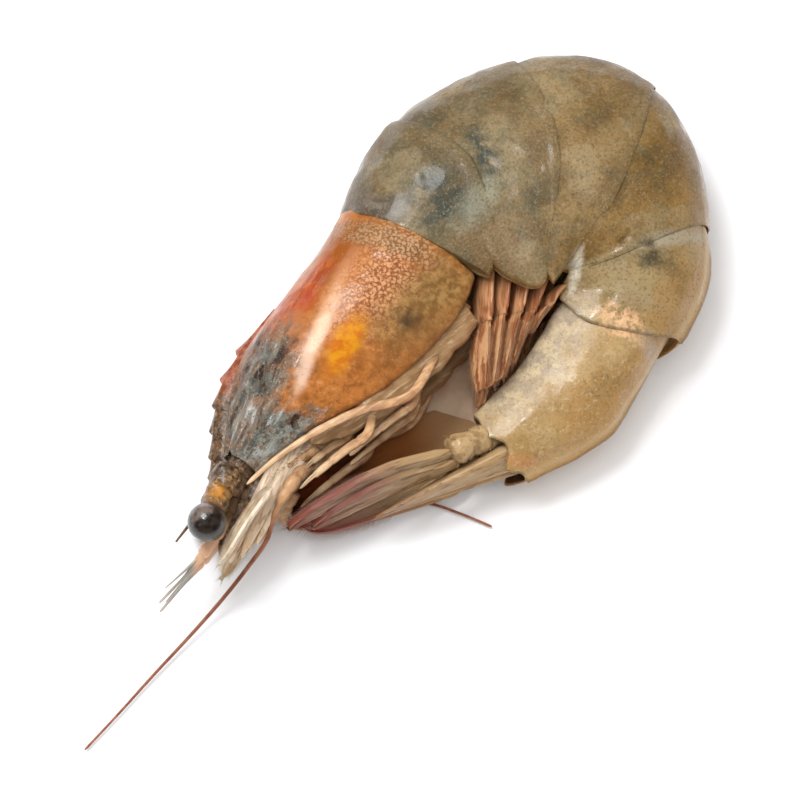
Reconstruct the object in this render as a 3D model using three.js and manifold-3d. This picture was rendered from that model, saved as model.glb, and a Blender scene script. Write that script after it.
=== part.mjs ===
// A raw white prawn, head and shell on, lying curled on its right side.
// Millimetres, +Z up. The prawn's middle plane lies level: its back follows the outside of the curl,
// its belly the inside, and its left side faces up. The origin is on the table, under the middle of the
// whole, and the outlines below are drawn about a point near the middle of the curl.
import * as THREE from 'three';
import { mergeVertices } from 'three/addons/utils/BufferGeometryUtils.js';
import Module from 'manifold-3d';

const wasm = await Module();
wasm.setup();

// Driving dimensions
const SHELL_GAP = 0.3; // between one shell ring and the next
const LEG_RADIUS = 0.5;
const EYE_RADIUS = 1.95;
const FEELER_RADIUS = 0.5; // at the root of a long antenna
const FEELER_TIP_RADIUS = 0.2;
const CREST_THICKNESS = 1.0;
const CREST_TEETH = 8;
const TOOTH_HEIGHT = 0.55;
const TELSON_WIDTH = 5.2;

// Outlines in the middle plane, as [x, y], from the back of the head shell to its front
const HEAD_BACK = [[-6, 16.8], [-8, 13.2], [-10.4, 9.8], [-12.9, 6.4], [-15, 3.2],
  [-16.4, 0.2], [-17, -2.8], [-17.3, -5.8], [-17.6, -8.6]];
const HEAD_BELLY = [[7.4, 9], [6, 5.2], [3.2, 1.8], [0.2, -1.2], [-3.2, -3.6],
  [-6.8, -5.6], [-10, -7.4], [-12.6, -9.2], [-14.2, -10.8]];
const HEAD_HALF_WIDTH = [7, 7.3, 7.3, 7, 6.5, 5.8, 5, 4.2, 3.5];

// The same for the six rings of the tail, two steps a ring, from the head to the tail fan
const TAIL_BACK = [[-6.2, 16.6], [-4.4, 21.2], [-1.2, 26.4], [4.8, 30.9], [11.2, 33.4], [18.6, 34.2],
  [25.6, 31], [29.6, 24.5], [31, 16], [30.6, 9.9], [27.5, 3.6], [21.2, -5.1], [12.8, -10]];
const TAIL_BELLY = [[6.8, 9.8], [7.4, 10.8], [8.4, 11.4], [11.4, 10.9], [14.2, 10.7], [15.4, 10.3], [16.2, 10],
  [16.9, 10], [17.3, 9.8], [17.1, 8.9], [16.2, 7.6], [12.2, 1.2], [7.6, -4]];
const TAIL_HALF_WIDTH = [7.1, 7.4, 7.5, 7.5, 7.5, 7.4, 7.2, 6.9, 6.5, 6, 5.4, 4.6, 3.4];
// How high the middle plane lies over the table. It is a little less than the widest half widths, because
// the soft body lies pressed flat there, and the tail fan sags lower.
const HEAD_LEVEL = [7, 7.05, 7, 6.85, 6.75, 6.65, 6.5, 6.4, 6.4];
const TAIL_LEVEL = [7, 7.1, 7.15, 7.15, 7.15, 7.1, 6.95, 6.75, 6.45, 6.1, 5.7, 5.1, 4.6];

// The crest over the head shell, without its teeth, from the back to the tip of the beak
const CREST = [[-12.6, 7.2], [-14.9, 4.2], [-16.7, 1.3], [-17.9, -1.3], [-18.4, -3.8], [-18.6, -6.3],
  [-18.7, -8.8], [-19.1, -10.8], [-19.9, -12.8], [-20.9, -14.9], [-22.2, -17.3]];
const BEAK_UNDERSIDE = [[-19.6, -13.2], [-18.2, -10.6], [-16, -7.6], [-14.6, -1.5], [-11.8, 5.4]];

// The belly line of the head, along which the legs fold forward: its back end, and its run to the front
const KEEL_START = new THREE.Vector2(...HEAD_BELLY[0]);
const KEEL_FORWARD = new THREE.Vector2(...HEAD_BELLY.at(-1)).sub(KEEL_START).normalize();
const KEEL_DOWN = new THREE.Vector2(-KEEL_FORWARD.y, KEEL_FORWARD.x);

const SIDES = { left: 1, right: -1 };

const SHELL = { color: 0x8f8468, roughness: 0.35 };
const HEAD = { color: 0xb5783f, roughness: 0.35 };
const LIMB = { color: 0xc79a72, roughness: 0.45 };
const SWIMMER = { color: 0xa0663c, roughness: 0.5 };
const FAN = { color: 0x7d4a3e, roughness: 0.4 };
const SCALE = { color: 0xc9bda0, roughness: 0.4 };
const EYE = { color: 0x15161a, roughness: 0.15 };
const FEELER = { color: 0xa8623c, roughness: 0.45 };

const smooth = (t) => t * t * (3 - 2 * t);
const clamp01 = (t) => Math.min(1, Math.max(0, t));

/** A smooth curve through [x, y] pairs, read at t from 0 to 1. */
function curveOf(pairs) {
  const spline = new THREE.SplineCurve(pairs.map(([x, y]) => new THREE.Vector2(x, y)));
  return (t) => spline.getPoint(clamp01(t));
}

/** The same for plain numbers. */
function valuesOf(numbers) {
  const read = curveOf(numbers.map((n, i) => [i, n]));
  return (t) => read(t).y;
}

/** The triangles of a geometry, with shared corners merged, all facing out. */
function closed(geometry) {
  geometry.deleteAttribute('normal');
  geometry.deleteAttribute('uv');
  const merged = mergeVertices(geometry, 1e-4);
  const { position } = merged.attributes;
  const index = merged.index.array;
  const corner = (i) => new THREE.Vector3().fromBufferAttribute(position, index[i]);
  let volume = 0;
  for (let i = 0; i < index.length; i += 3) {
    volume += corner(i).dot(corner(i + 1).cross(corner(i + 2)));
  }
  if (volume < 0) {
    index.reverse();
  }
  merged.computeVertexNormals();
  return merged;
}

/** A closed cylinder whose points go where place(angle, along, reach) says. reach is 0 in an end's middle. */
function mould(around, along, place) {
  const geometry = new THREE.CylinderGeometry(1, 1, 1, around, along);
  const { position } = geometry.attributes;
  for (let i = 0; i < position.count; i++) {
    const across = new THREE.Vector2(position.getZ(i), position.getX(i));
    const point = place(Math.atan2(across.y, across.x), position.getY(i) + 0.5, across.length());
    position.setXYZ(i, point.x, point.y, point.z);
  }
  return closed(geometry);
}

/** A limb or feeler: a round tube along [x, y, z] points, as thick as radius(t) says. */
function limb(points, radius, around = 6, along = 14) {
  const path = new THREE.CatmullRomCurve3(points.map((p) => new THREE.Vector3(...p)), false, 'centripetal');
  const frames = path.computeFrenetFrames(along, false);
  return mould(around, along, (angle, t, reach) => {
    const step = Math.round(t * along);
    const out = frames.normals[step].clone().multiplyScalar(Math.cos(angle));
    out.addScaledVector(frames.binormals[step], Math.sin(angle));
    return path.getPointAt(t).addScaledVector(out, reach * radius(t));
  });
}

/** A thin blade from root to tip. width(t) is its half width along across, and bow lifts its middle. */
function blade({ root, tip, across, width, thickness, bow = 0, cup = 0, around = 10, along = 8 }) {
  const from = new THREE.Vector3(...root);
  const to = new THREE.Vector3(...tip);
  const wide = new THREE.Vector3(...across).normalize();
  const face = new THREE.Vector3().subVectors(to, from).cross(wide).normalize();
  return mould(around, along, (angle, t, reach) => {
    const side = Math.sin(angle) * reach;
    const lift = bow * Math.sin(Math.PI * t) + cup * side * side * smooth(Math.min(1, t * 2));
    const point = new THREE.Vector3().lerpVectors(from, to, t);
    point.addScaledVector(wide, width(t) * side);
    return point.addScaledVector(face, lift + (thickness(t) / 2) * Math.cos(angle) * reach);
  });
}

/**
 * One cross-section of the body, read by angle from the back (0) over the left or right side to the belly.
 * It gives [share of the way from back to belly, share of the half width].
 */
function section(angle, reach, { shoulder, tuck, flap, hollow }) {
  const turn = Math.abs(angle) / Math.PI;
  const inner = tuck - flap;
  if (turn < 0.42) {
    const swing = (turn / 0.42) * (Math.PI / 2);
    return [shoulder * (1 - Math.cos(swing)), Math.sin(swing) * reach];
  }
  if (turn < 0.67) {
    const fall = (turn - 0.42) / 0.25;
    return [shoulder + (1 - shoulder) * fall, 1 - (1 - tuck) * fall * fall];
  }
  if (turn < 0.76) {
    return [1, tuck - flap * ((turn - 0.67) / 0.09)];
  }
  const towardsMiddle = (turn - 0.76) / 0.24;
  return [1 - hollow * (1 - (1 - towardsMiddle) ** 2), inner * (1 - towardsMiddle)];
}

/** How much of a ring's lobe hangs at a place on it: rounded along the ring, and only on its side flaps. */
function lobeShare(t, turn) {
  const along = 2 * clamp01((t - 0.1) / 0.88) - 1;
  const flap = smooth(clamp01((turn - 0.5) / 0.18)) * (1 - smooth(clamp01((turn - 0.765) / 0.045)));
  return Math.sqrt(Math.max(0, 1 - along ** 4)) * flap;
}

/** A length of the body between from and to (shares of its outlines), with trim taken off the ends. */
function bodyLength({
  back, belly, halfWidth, level, from, to, form, flare = 0, lobe = 0, trim, around = 24, along,
}) {
  return mould(around, along, (angle, t, reach) => {
    const s = from + (to - from) * t;
    const swell = 1 + flare * (t - 0.6);
    const top = back(s);
    const bottom = belly(s);
    const down = new THREE.Vector2().subVectors(bottom, top);
    top.addScaledVector(down, 1 - swell);
    down.subVectors(bottom, top);
    const [share, side] = section(angle, reach, form);
    const spot = top.addScaledVector(down, reach ? share : 0.45);
    spot.addScaledVector(down.clone().normalize(), reach * lobe * lobeShare(t, Math.abs(angle) / Math.PI));
    const normal = new THREE.Vector2(-down.y, down.x).normalize();
    const ahead = back(s + 0.01).sub(back(s - 0.01)).dot(normal) > 0 ? 1 : -1;
    const inset = t === 0 ? trim : t === 1 ? -trim : 0;
    spot.addScaledVector(normal, inset * ahead);
    const out = reach ? side * halfWidth(s) * swell * Math.sign(angle || 1) : 0;
    return new THREE.Vector3(spot.x, spot.y, Math.max(0, level(s) + out));
  });
}

/** A geometry as a solid that can be cut and joined, and back. */
function solidOf(geometry) {
  const { position } = geometry.attributes;
  return new wasm.Manifold(new wasm.Mesh({
    numProp: 3, vertProperties: position.array, triVerts: new Uint32Array(geometry.index.array),
  }));
}

function geometryOf(solid) {
  const mesh = solid.getMesh();
  const geometry = new THREE.BufferGeometry();
  geometry.setAttribute('position', new THREE.BufferAttribute(mesh.vertProperties, 3));
  geometry.setIndex(new THREE.BufferAttribute(mesh.triVerts, 1));
  geometry.computeVertexNormals();
  return geometry;
}

/** The saw-toothed crest that runs out in front as the beak. */
function crest() {
  const ridge = curveOf(CREST);
  const outline = new THREE.Shape();
  outline.moveTo(...ridge(0));
  for (let tooth = 0; tooth < CREST_TEETH; tooth++) {
    const start = 0.08 + (0.82 * tooth) / CREST_TEETH;
    const point = ridge(start + 0.075);
    const slope = ridge(start + 0.08).sub(ridge(start + 0.05)).normalize();
    const height = TOOTH_HEIGHT * (1 - 0.5 * (tooth / CREST_TEETH));
    outline.lineTo(...ridge(start));
    outline.lineTo(point.x + slope.y * height, point.y - slope.x * height);
    outline.lineTo(...ridge(start + 0.085));
  }
  outline.lineTo(...CREST.at(-1));
  BEAK_UNDERSIDE.forEach((p) => outline.lineTo(...p));
  const geometry = new THREE.ExtrudeGeometry(outline, { depth: CREST_THICKNESS, bevelEnabled: false });
  geometry.translate(0, 0, HEAD_LEVEL.at(-1) - CREST_THICKNESS / 2);
  return closed(geometry);
}

/** The head shell, one piece with its crest and beak. */
function carapace() {
  const shell = bodyLength({
    back: curveOf(HEAD_BACK), belly: curveOf(HEAD_BELLY),
    halfWidth: valuesOf(HEAD_HALF_WIDTH), level: valuesOf(HEAD_LEVEL),
    from: 0, to: 1, trim: SHELL_GAP / 2, along: 16,
    form: { shoulder: 0.5, tuck: 0.6, flap: 0.14, hollow: 0.12 },
  });
  return geometryOf(solidOf(shell).add(solidOf(crest())));
}

// How far the lobes of each ring's side flaps hang below its belly line, into the curl
const RING_LOBES = [2.4, 3.6, 2.2, 0.8, 0.6, 0];

/** One ring of the tail, with its side flaps, flared towards its rear edge. */
function tailRing(number) {
  const last = number === 6;
  return bodyLength({
    back: curveOf(TAIL_BACK), belly: curveOf(TAIL_BELLY),
    halfWidth: valuesOf(TAIL_HALF_WIDTH), level: valuesOf(TAIL_LEVEL),
    from: (number - 1) / 6, to: number / 6, trim: SHELL_GAP / 2,
    around: last ? 24 : 30, along: last ? 7 : 5, flare: last ? 0 : 0.05, lobe: RING_LOBES[number - 1],
    form: last ? { shoulder: 0.5, tuck: 0.62, flap: 0.2, hollow: 0.06 }
      : { shoulder: 0.55, tuck: 0.8, flap: 0.14, hollow: 0.08 },
  });
}

/** The pointed spike over the middle of the tail fan. */
function telson() {
  return blade({
    root: [10.3, -8.1, 4.6], tip: [-2.4, -14.1, 4.9], across: [0, 0, 1],
    width: (t) => (TELSON_WIDTH / 2) * (1 - t ** 1.6) + 0.08,
    thickness: (t) => 2.6 * (1 - t) + 0.25, cup: -0.5,
  });
}

// The tail fan, two blades a side on a short base. The upper blades stand on edge beside the spike; the
// lower ones lie open on the table.
const FAN_BASES = {
  left: [[8.6, -6.2, 6.3], [6.8, -7.3, 7.2], [4.9, -8.4, 7.5]],
  right: [[8.6, -5.9, 3.6], [6.9, -6.6, 3.2], [5, -7.4, 3.1]],
};
const FAN_BLADES = {
  left_outer: {
    root: [4.2, -8.2, 8], tip: [-11, -16, 7], across: [0.25, 0.2, 1], half: 2.9, bow: 0.7, start: 0.6,
  },
  left_inner: {
    root: [4.6, -9.5, 6.3], tip: [-8.6, -15.4, 5.6], across: [0.1, 0.2, 1], half: 2.7, bow: 0.4, start: 0.55,
  },
  right_outer: {
    root: [7, -4.9, 0.9], tip: [-10.9, -12.6, 1.9], across: [0.2, -1, 0.05], half: 4.8, bow: -0.4,
    start: 0.62, spread: 5, fall: 3,
  },
  right_inner: {
    root: [4.2, -8.6, 3.4], tip: [-9.8, -14.4, 3.1], across: [0.35, -1, -0.45], half: 2.3, bow: -0.3,
  },
};

function fanBase(route) {
  return limb(route, (t) => 1.2 + 0.25 * Math.sin(Math.PI * t), 8, 4);
}

/** A blade of the fan. start is its root's share of its width, spread says how soon it widens, and fall
 *  how late it rounds off. */
function fanBlade({ root, tip, across, half, bow, start = 0.34, spread = 2.2, fall = 5 }) {
  const widening = (t) => start + (1 - start) * smooth(Math.min(1, t * spread));
  return blade({
    root, tip, across, bow,
    width: (t) => half * widening(t) * Math.sqrt(Math.max(0.02, 1 - t ** fall)),
    thickness: (t) => 1 - 0.55 * t,
  });
}

/** What the eyes and feelers grow from, just in front of the head shell. */
function headFront() {
  const route = [[-15.4, -10.4], [-16, -11.4], [-16.6, -12.5]].map((p) => [...p, HEAD_LEVEL.at(-1)]);
  return limb(route, (t) => 1.45 - 0.45 * t, 10, 3);
}

// How far each eye's middle lies from the root of its stalk, and which way the stalk leans. The right one is
// folded back under the beak.
const EYES = {
  left: { reach: 6.6, lean: [-0.3, -0.9, 0.24] },
  right: { reach: 4.2, lean: [-0.5, -0.77, -0.4] },
};

/** An eye on its stalk, turned about its own axis. */
function eye({ reach, lean }, side) {
  const profile = [[0, 0], [0.8, 0], [0.95, 1.2], [0.9, reach - 2.8], [1.15, reach - 1.9]];
  for (let step = 2; step <= 8; step++) {
    const swing = (step / 8) * Math.PI;
    profile.push([EYE_RADIUS * Math.sin(swing), reach - EYE_RADIUS * Math.cos(swing)]);
  }
  profile.at(-1)[0] = 0;
  const geometry = new THREE.LatheGeometry(profile.map((p) => new THREE.Vector2(...p)), 12);
  const axis = new THREE.Vector3(...lean).normalize();
  geometry.applyQuaternion(new THREE.Quaternion().setFromUnitVectors(new THREE.Vector3(0, 1, 0), axis));
  geometry.translate(-17, -10.6, HEAD_LEVEL.at(-1) + 2.55 * side);
  return closed(geometry);
}

/** The broad scale beside the feelers. */
function antennaScale(side) {
  const level = HEAD_LEVEL.at(-1);
  return blade({
    root: [-13, -12.6, level + 2.8 * side], tip: [-17.8, -20.5, level + 2.2 * side],
    across: [0.55, -0.3, 0.9 * side], thickness: (t) => 0.9 - 0.4 * t, bow: 0.4 * side,
    width: (t) => 1.75 * Math.sqrt(Math.max(0.03, 1 - (2 * t - 0.9) ** 4)) * (1 - 0.35 * t),
  });
}

/** The short feeler between the eyes: a jointed stem that runs out in a thread. */
function antennule(side) {
  const level = HEAD_LEVEL.at(-1);
  const stem = [[-16.8, -13.1, level + 0.85 * side], [-17.5, -15, level + 0.8 * side],
    [-19.2, -18.4, level + 0.8 * side], [-20.8, -20.4, level + 0.8 * side - 0.6],
    [-23.8, -23.6, level + 1.4 * side - 1.6]];
  return limb(stem, (t) => 0.55 * (1 - smooth(clamp01((t - 0.35) / 0.5))) + 0.16, 6, 12);
}

// The long antennae: the left one runs forward over the table, the right one back under the tail fan
const ANTENNA_ROUTES = {
  left: [[-10.6, -11.6, 8.3], [-12.3, -14.6, 7.6], [-13.2, -17, 6.2], [-14.9, -18.9, 4.2], [-17.6, -21.8, 2.2],
    [-20.6, -25, 1], [-24.4, -29.2, 0.6], [-28, -33.4, 0.5], [-31.2, -37, 0.4]],
  right: [[-10.6, -11.4, 4.4], [-11.4, -12.6, 3.4], [-11.6, -13.4, 2], [-10.2, -13.9, 0.9], [-6.6, -13.3, 0.6],
    [-3, -11.8, 0.45], [0, -11, 0.4], [3, -11.2, 0.4], [6.2, -12.3, 0.38], [9.2, -13.6, 0.35]],
};

function antenna(route) {
  const stemEnd = 0.16;
  const taper = (t) => FEELER_RADIUS + (FEELER_TIP_RADIUS - FEELER_RADIUS) * clamp01((t - stemEnd) / 0.7);
  return limb(route, (t) => taper(t) + 0.5 * (1 - smooth(clamp01(t / stemEnd))), 6, 40);
}

/** A point beside the head's belly line: forward along it, down from it, and out from the middle plane. */
function keelPoint(forward, down, height) {
  const spot = KEEL_START.clone().addScaledVector(KEEL_FORWARD, forward).addScaledVector(KEEL_DOWN, down);
  return [spot.x, spot.y, height];
}

// The five pairs of walking legs, front pair first: where each leaves the belly, how far forward it folds,
// how far below the belly line and out from the middle plane it lies, how far its tip rises again, and by
// which share of its fold it has bent forward
const LEGS = [
  { start: 17.6, fold: 8, below: 3, out: 1, rise: 0.3, bend: 0.1 },
  { start: 15, fold: 12.5, below: 4.7, out: 2.9, rise: 0.3, bend: 0.1 },
  { start: 11.2, fold: 9.5, below: 4.1, out: 0.75, rise: 0.1, bend: 0.2 },
  { start: 9.2, fold: 12, below: 5, out: 1.5, rise: 0.2, bend: 0.28 },
  { start: 4.4, fold: 27, below: 4.9, out: 4.3, rise: 4, bend: 0.33 },
];
const LEG_ROOT_OUT = 2.3;
const LEG_ROOT_DOWN = 2.4;

function leg({ start, fold, below, out, rise, bend }, side) {
  const level = HEAD_LEVEL[3];
  const at = (share, down, wide) => keelPoint(start + fold * share, down, level + wide * side);
  const points = [
    at(-0.02, LEG_ROOT_DOWN, LEG_ROOT_OUT),
    at(0.5 * bend, (below + LEG_ROOT_DOWN) / 2, (LEG_ROOT_OUT + out) / 2), at(bend, below, out), at(0.45, below - 0.4 * rise, out + 0.1), at(0.6, below - 0.75 * rise, out + 0.1),
    at(0.85, below - rise, out), at(1, below - rise, out - 0.1),
  ];
  const joints = [0.2, 0.52, 0.74];
  const swell = (t) => joints.reduce((sum, j) => sum + 0.16 * Math.exp(-(((t - j) / 0.035) ** 2)), 0);
  const taper = (t) => 1 - 0.6 * smooth(clamp01((t - 0.45) / 0.55));
  return limb(points, (t) => LEG_RADIUS * (1 + swell(t)) * taper(t), 6, 16);
}

/** The leg-like mouthpart in front of the legs. */
function maxilliped(side) {
  const level = HEAD_LEVEL[5];
  const route = [[20.6, 1.6, 1], [22, 1.9, 0.9], [25.4, 1.6, 0.9], [28, 1.3, 0.85], [30.4, 1.9, 0.8]];
  const points = route.map(([forward, down, out]) => keelPoint(forward, down, level + out * side));
  return limb(points, (t) => 0.6 - 0.33 * t, 6, 10);
}

// The five pairs of swimming legs: root and tip in the middle plane, folded into the curl
const SWIMMERETS = [
  { root: [8.2, 10.3], tip: [7.2, -2.6] },
  { root: [10.4, 11.3], tip: [8.3, -2.3] },
  { root: [12.8, 11.1], tip: [9.4, -1.4] },
  { root: [14.6, 10.3], tip: [10.4, -0.1] },
  { root: [15.75, 8.2], tip: [12.9, 3.9] },
];

function swimmeret({ root, tip }, side) {
  const level = TAIL_LEVEL[3] + 2.4 * side;
  return blade({
    root: [...root, level], tip: [...tip, level - 0.5], across: [0.45, 0.1, 1], bow: 0.25 * side,
    width: (t) => 1.5 + 0.5 * Math.sin(Math.PI * Math.min(1, t * 1.3)) - 1.2 * t ** 3,
    thickness: (t) => 0.9 - 0.5 * t, around: 8, along: 5,
  });
}

const prawn = new THREE.Group();

function add(name, geometry, look) {
  const mesh = new THREE.Mesh(geometry, new THREE.MeshStandardMaterial({ ...look, metalness: 0 }));
  mesh.name = name;
  prawn.add(mesh);
}

add('carapace', carapace(), HEAD);
for (let number = 1; number <= 6; number++) {
  add(`tail_ring_${number}`, tailRing(number), SHELL);
}
add('telson', telson(), FAN);
for (const [name, form] of Object.entries(FAN_BLADES)) {
  add(`fan_${name}`, fanBlade(form), FAN);
}
add('head_front', headFront(), HEAD);
for (const [name, side] of Object.entries(SIDES)) {
  add(`fan_base_${name}`, fanBase(FAN_BASES[name]), SHELL);
  add(`eye_${name}`, eye(EYES[name], side), EYE);
  add(`antenna_scale_${name}`, antennaScale(side), SCALE);
  add(`antennule_${name}`, antennule(side), FEELER);
  add(`antenna_${name}`, antenna(ANTENNA_ROUTES[name]), FEELER);
  add(`maxilliped_${name}`, maxilliped(side), LIMB);
  LEGS.forEach((form, i) => add(`leg_${i + 1}_${name}`, leg(form, side), LIMB));
  SWIMMERETS.forEach((form, i) => add(`swimmeret_${i + 1}_${name}`, swimmeret(form, side), SWIMMER));
}

// The origin: on the table, under the middle of the whole
const box = new THREE.Box3().setFromObject(prawn, true);
const middle = box.getCenter(new THREE.Vector3());
prawn.position.set(-middle.x, -middle.y, -box.min.z);

export default prawn;
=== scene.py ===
# %% [markdown]
# # A raw white prawn on a white table
#
# A prawn is a soft body in hard, wet, half-clear shells. It lies on its right side, curled, with its left
# side up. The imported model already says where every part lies, so this script only gives each part its real
# surface: overlapping shells, ridged fan blades, feathered legs, and the colours that show through them.
# All lengths below are in millimetres, in the same drawing frame as the model's own outlines.

# %% Load the frame
import math
from random import Random

import bmesh
import bpy
import numpy as np
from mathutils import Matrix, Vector, noise


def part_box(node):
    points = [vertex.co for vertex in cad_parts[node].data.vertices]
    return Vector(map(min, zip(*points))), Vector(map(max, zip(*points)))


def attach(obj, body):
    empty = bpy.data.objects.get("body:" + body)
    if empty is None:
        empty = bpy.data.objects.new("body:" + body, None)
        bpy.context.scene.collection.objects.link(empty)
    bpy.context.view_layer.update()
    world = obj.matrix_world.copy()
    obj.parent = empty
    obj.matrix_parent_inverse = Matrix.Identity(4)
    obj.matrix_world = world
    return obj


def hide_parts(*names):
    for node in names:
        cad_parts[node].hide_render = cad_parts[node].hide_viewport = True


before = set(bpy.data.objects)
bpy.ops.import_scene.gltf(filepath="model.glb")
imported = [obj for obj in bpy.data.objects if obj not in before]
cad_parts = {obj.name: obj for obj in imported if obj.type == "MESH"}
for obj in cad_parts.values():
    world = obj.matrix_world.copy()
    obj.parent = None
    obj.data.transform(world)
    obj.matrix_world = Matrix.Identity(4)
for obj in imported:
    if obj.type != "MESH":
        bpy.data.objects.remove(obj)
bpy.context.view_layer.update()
print("parts in the frame:", len(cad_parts))

# %% [markdown]
# ## Where the drawing lies in the frame
#
# The outlines are drawn about a point near the middle of the curl, and the frame's origin is under the middle
# of the whole prawn. The shift could be typed in as a number, but it would be wrong after the next change of
# the model. The tip of the beak is the lowest corner of the head shell in x and y, so the distance between
# that corner and the tip in the drawing gives the shift, whatever the model's size.

# %% The shift from the drawing to the frame
MM = 0.001
BEAK_TIP = (-22.2, -17.3)
shell_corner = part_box("carapace")[0]
SHIFT = np.array([shell_corner.x / MM - BEAK_TIP[0], shell_corner.y / MM - BEAK_TIP[1], 0.0])
print("shift in mm:", SHIFT.round(3))


def in_frame(points):
    """Points of the drawing, in mm, as frame points, in metres."""
    return (np.asarray(points, float) + SHIFT) * MM


# %% [markdown]
# ## Curves
#
# Every outline is a few points and a smooth curve through them. Blender's own curves could be used, but they
# bend a little differently. The curve has to be the one that the model used, a uniform Catmull-Rom spline, so
# that shells made here sit exactly where the solids are. It is written for whole arrays of places at once,
# because a shell has tens of thousands of points.

# %% Curves and soft steps
def curve_of(points):
    """A smooth curve through the points, read at any array of t from 0 to 1."""
    knots = np.array(points, float)
    if knots.ndim == 1:
        knots = knots[:, None]
    last = len(knots) - 1

    def read(t):
        x = np.clip(np.asarray(t, float), 0, 1) * last
        i = np.minimum(x.astype(int), last - 1)
        w = (x - i)[..., None]
        before, here = knots[np.maximum(i - 1, 0)], knots[i]
        there, beyond = knots[i + 1], knots[np.minimum(i + 2, last)]
        leave, arrive = (there - before) / 2, (beyond - here) / 2
        bend = 3 * (there - here) - 2 * leave - arrive
        return ((2 * (here - there) + leave + arrive) * w + bend) * w * w + leave * w + here

    return read


def soft_step(x, low=0.0, high=1.0):
    """0 below low, 1 above high, and smooth between them."""
    t = np.clip((np.asarray(x, float) - low) / (high - low), 0, 1)
    return t * t * (3 - 2 * t)


def bell(x, middle, width):
    """A round bump of height 1."""
    return np.exp(-(((np.asarray(x, float) - middle) / width) ** 2))


def ripple(points, size, seed=0.0):
    """Smooth noise from -1 to 1, with features about size mm across."""
    flat = np.asarray(points, float).reshape(-1, 3) / size + seed
    values = [noise.noise(Vector(p)) for p in flat]
    return np.array(values).reshape(np.shape(points)[:-1])


def unit(vector):
    """The same direction, one long."""
    vector = np.asarray(vector, float)
    return vector / np.linalg.norm(vector)


def full_turn(count):
    """Angles evenly spaced once round a circle."""
    return np.linspace(0, 2 * math.pi, count, endpoint=False)


print("curves ready; half way up a soft step:", soft_step(0.5))

# %% [markdown]
# ## Turning arrays of points into meshes
#
# Shells and limbs could be modelled from cubes with modifiers, but their forms are easier to say as formulas.
# So each surface is a grid of points that wraps round on itself, closed by a fan of triangles at both ends.
# Many grids can go into one mesh, so a blade and its hundreds of hairs are one object. Named numbers are kept
# at the points, such as how far along the body a point lies, and the materials read them as attributes.

# %% A mesh from grids of points
FLOOR_CLEARANCE = 0.02


def above_table(points):
    """A grid whose lowest points are lifted to just above the table."""
    lifted = points.copy()
    lifted[..., 2] = np.maximum(lifted[..., 2], FLOOR_CLEARANCE)
    return lifted


class Clay:
    """Collects closed grids of points, then makes one mesh of them."""

    def __init__(self):
        self.points, self.faces, self.marks, self.count = [], [], {}, 0

    def grid(self, points, **marks):
        """Adds a grid [row, around, xyz] that wraps round in its second direction, closed at both ends.
        Nothing in it reaches below the table."""
        points = above_table(points)
        rows, around = points.shape[:2]
        ends = np.array([points[0].mean(0), points[-1].mean(0)])
        self.points.append(np.concatenate([points.reshape(-1, 3), ends]))
        for name in self.marks | marks:
            given = np.broadcast_to(marks.get(name, 0.0), (rows, around))
            flat = np.append(given.reshape(-1), [given[0].mean(), given[-1].mean()])
            self.marks.setdefault(name, [np.zeros(self.count)] if self.count else []).append(flat)
        index = np.arange(rows * around).reshape(rows, around) + self.count
        turned = np.roll(index, -1, axis=1)
        quads = np.stack([index[:-1], turned[:-1], turned[1:], index[1:]], axis=-1).reshape(-1, 4)
        first, final = self.count + rows * around, self.count + rows * around + 1
        self.faces += quads.tolist()
        self.faces += [[int(b), int(a), first] for a, b in zip(index[0], turned[0])]
        self.faces += [[int(a), int(b), final] for a, b in zip(index[-1], turned[-1])]
        self.count += rows * around + 2
        return self

    def build(self, name):
        """Makes the mesh, with every face turned outwards, and links it to the scene."""
        mesh = bpy.data.meshes.new(name)
        mesh.from_pydata(in_frame(np.concatenate(self.points)).tolist(), [], self.faces)
        shape = bmesh.new()
        shape.from_mesh(mesh)
        bmesh.ops.recalc_face_normals(shape, faces=shape.faces)
        shape.to_mesh(mesh)
        shape.free()
        for mark, parts in self.marks.items():
            layer = mesh.attributes.new(mark, "FLOAT", "POINT")
            layer.data.foreach_set("value", np.concatenate(parts).astype(np.float32))
        mesh.polygons.foreach_set("use_smooth", [True] * len(mesh.polygons))
        mesh.update()
        piece = bpy.data.objects.new(name, mesh)
        bpy.context.scene.collection.objects.link(piece)
        return piece


print("clay ready; clearance over the table in mm:", FLOOR_CLEARANCE)

# %% [markdown]
# ## Relief, and handing a piece over
#
# A shell's dents and ridges could be a bump in its material, but then its outline and the exported mesh would
# stay smooth. So relief moves the points themselves, along the grid's own normals. A finished piece then gets
# its material and the body that it rides on, and the solid it stands for is hidden.

# %% Relief and settling
def raised(points, height):
    """A grid moved out along its own normals, by height mm at each point."""
    along = np.gradient(points, axis=0)
    across = np.roll(points, -1, axis=1) - np.roll(points, 1, axis=1)
    normal = np.cross(along, across)
    normal /= np.linalg.norm(normal, axis=-1, keepdims=True) + 1e-9
    outward = points - points.mean(axis=1, keepdims=True)
    if (normal * outward).sum() < 0:
        normal = -normal
    return points + normal * np.asarray(height)[..., None]


def settle(piece, material, slot, *nodes):
    """Gives a finished piece its material and its place on the body, and hides its solid. slot is not used.
    """
    piece.data.materials.append(material)
    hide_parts(*nodes)
    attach(piece, "root")
    print(piece.name, "faces:", len(piece.data.polygons))
    return piece


print("relief and settling ready")

# %% [markdown]
# ## Shader maths as plain formulas
#
# A shader's masks are sums and products of noise and distances. Wiring each one by hand hides the idea, so a
# small class stands for a node's output and lets Python's own operators add the Math nodes.

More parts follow.
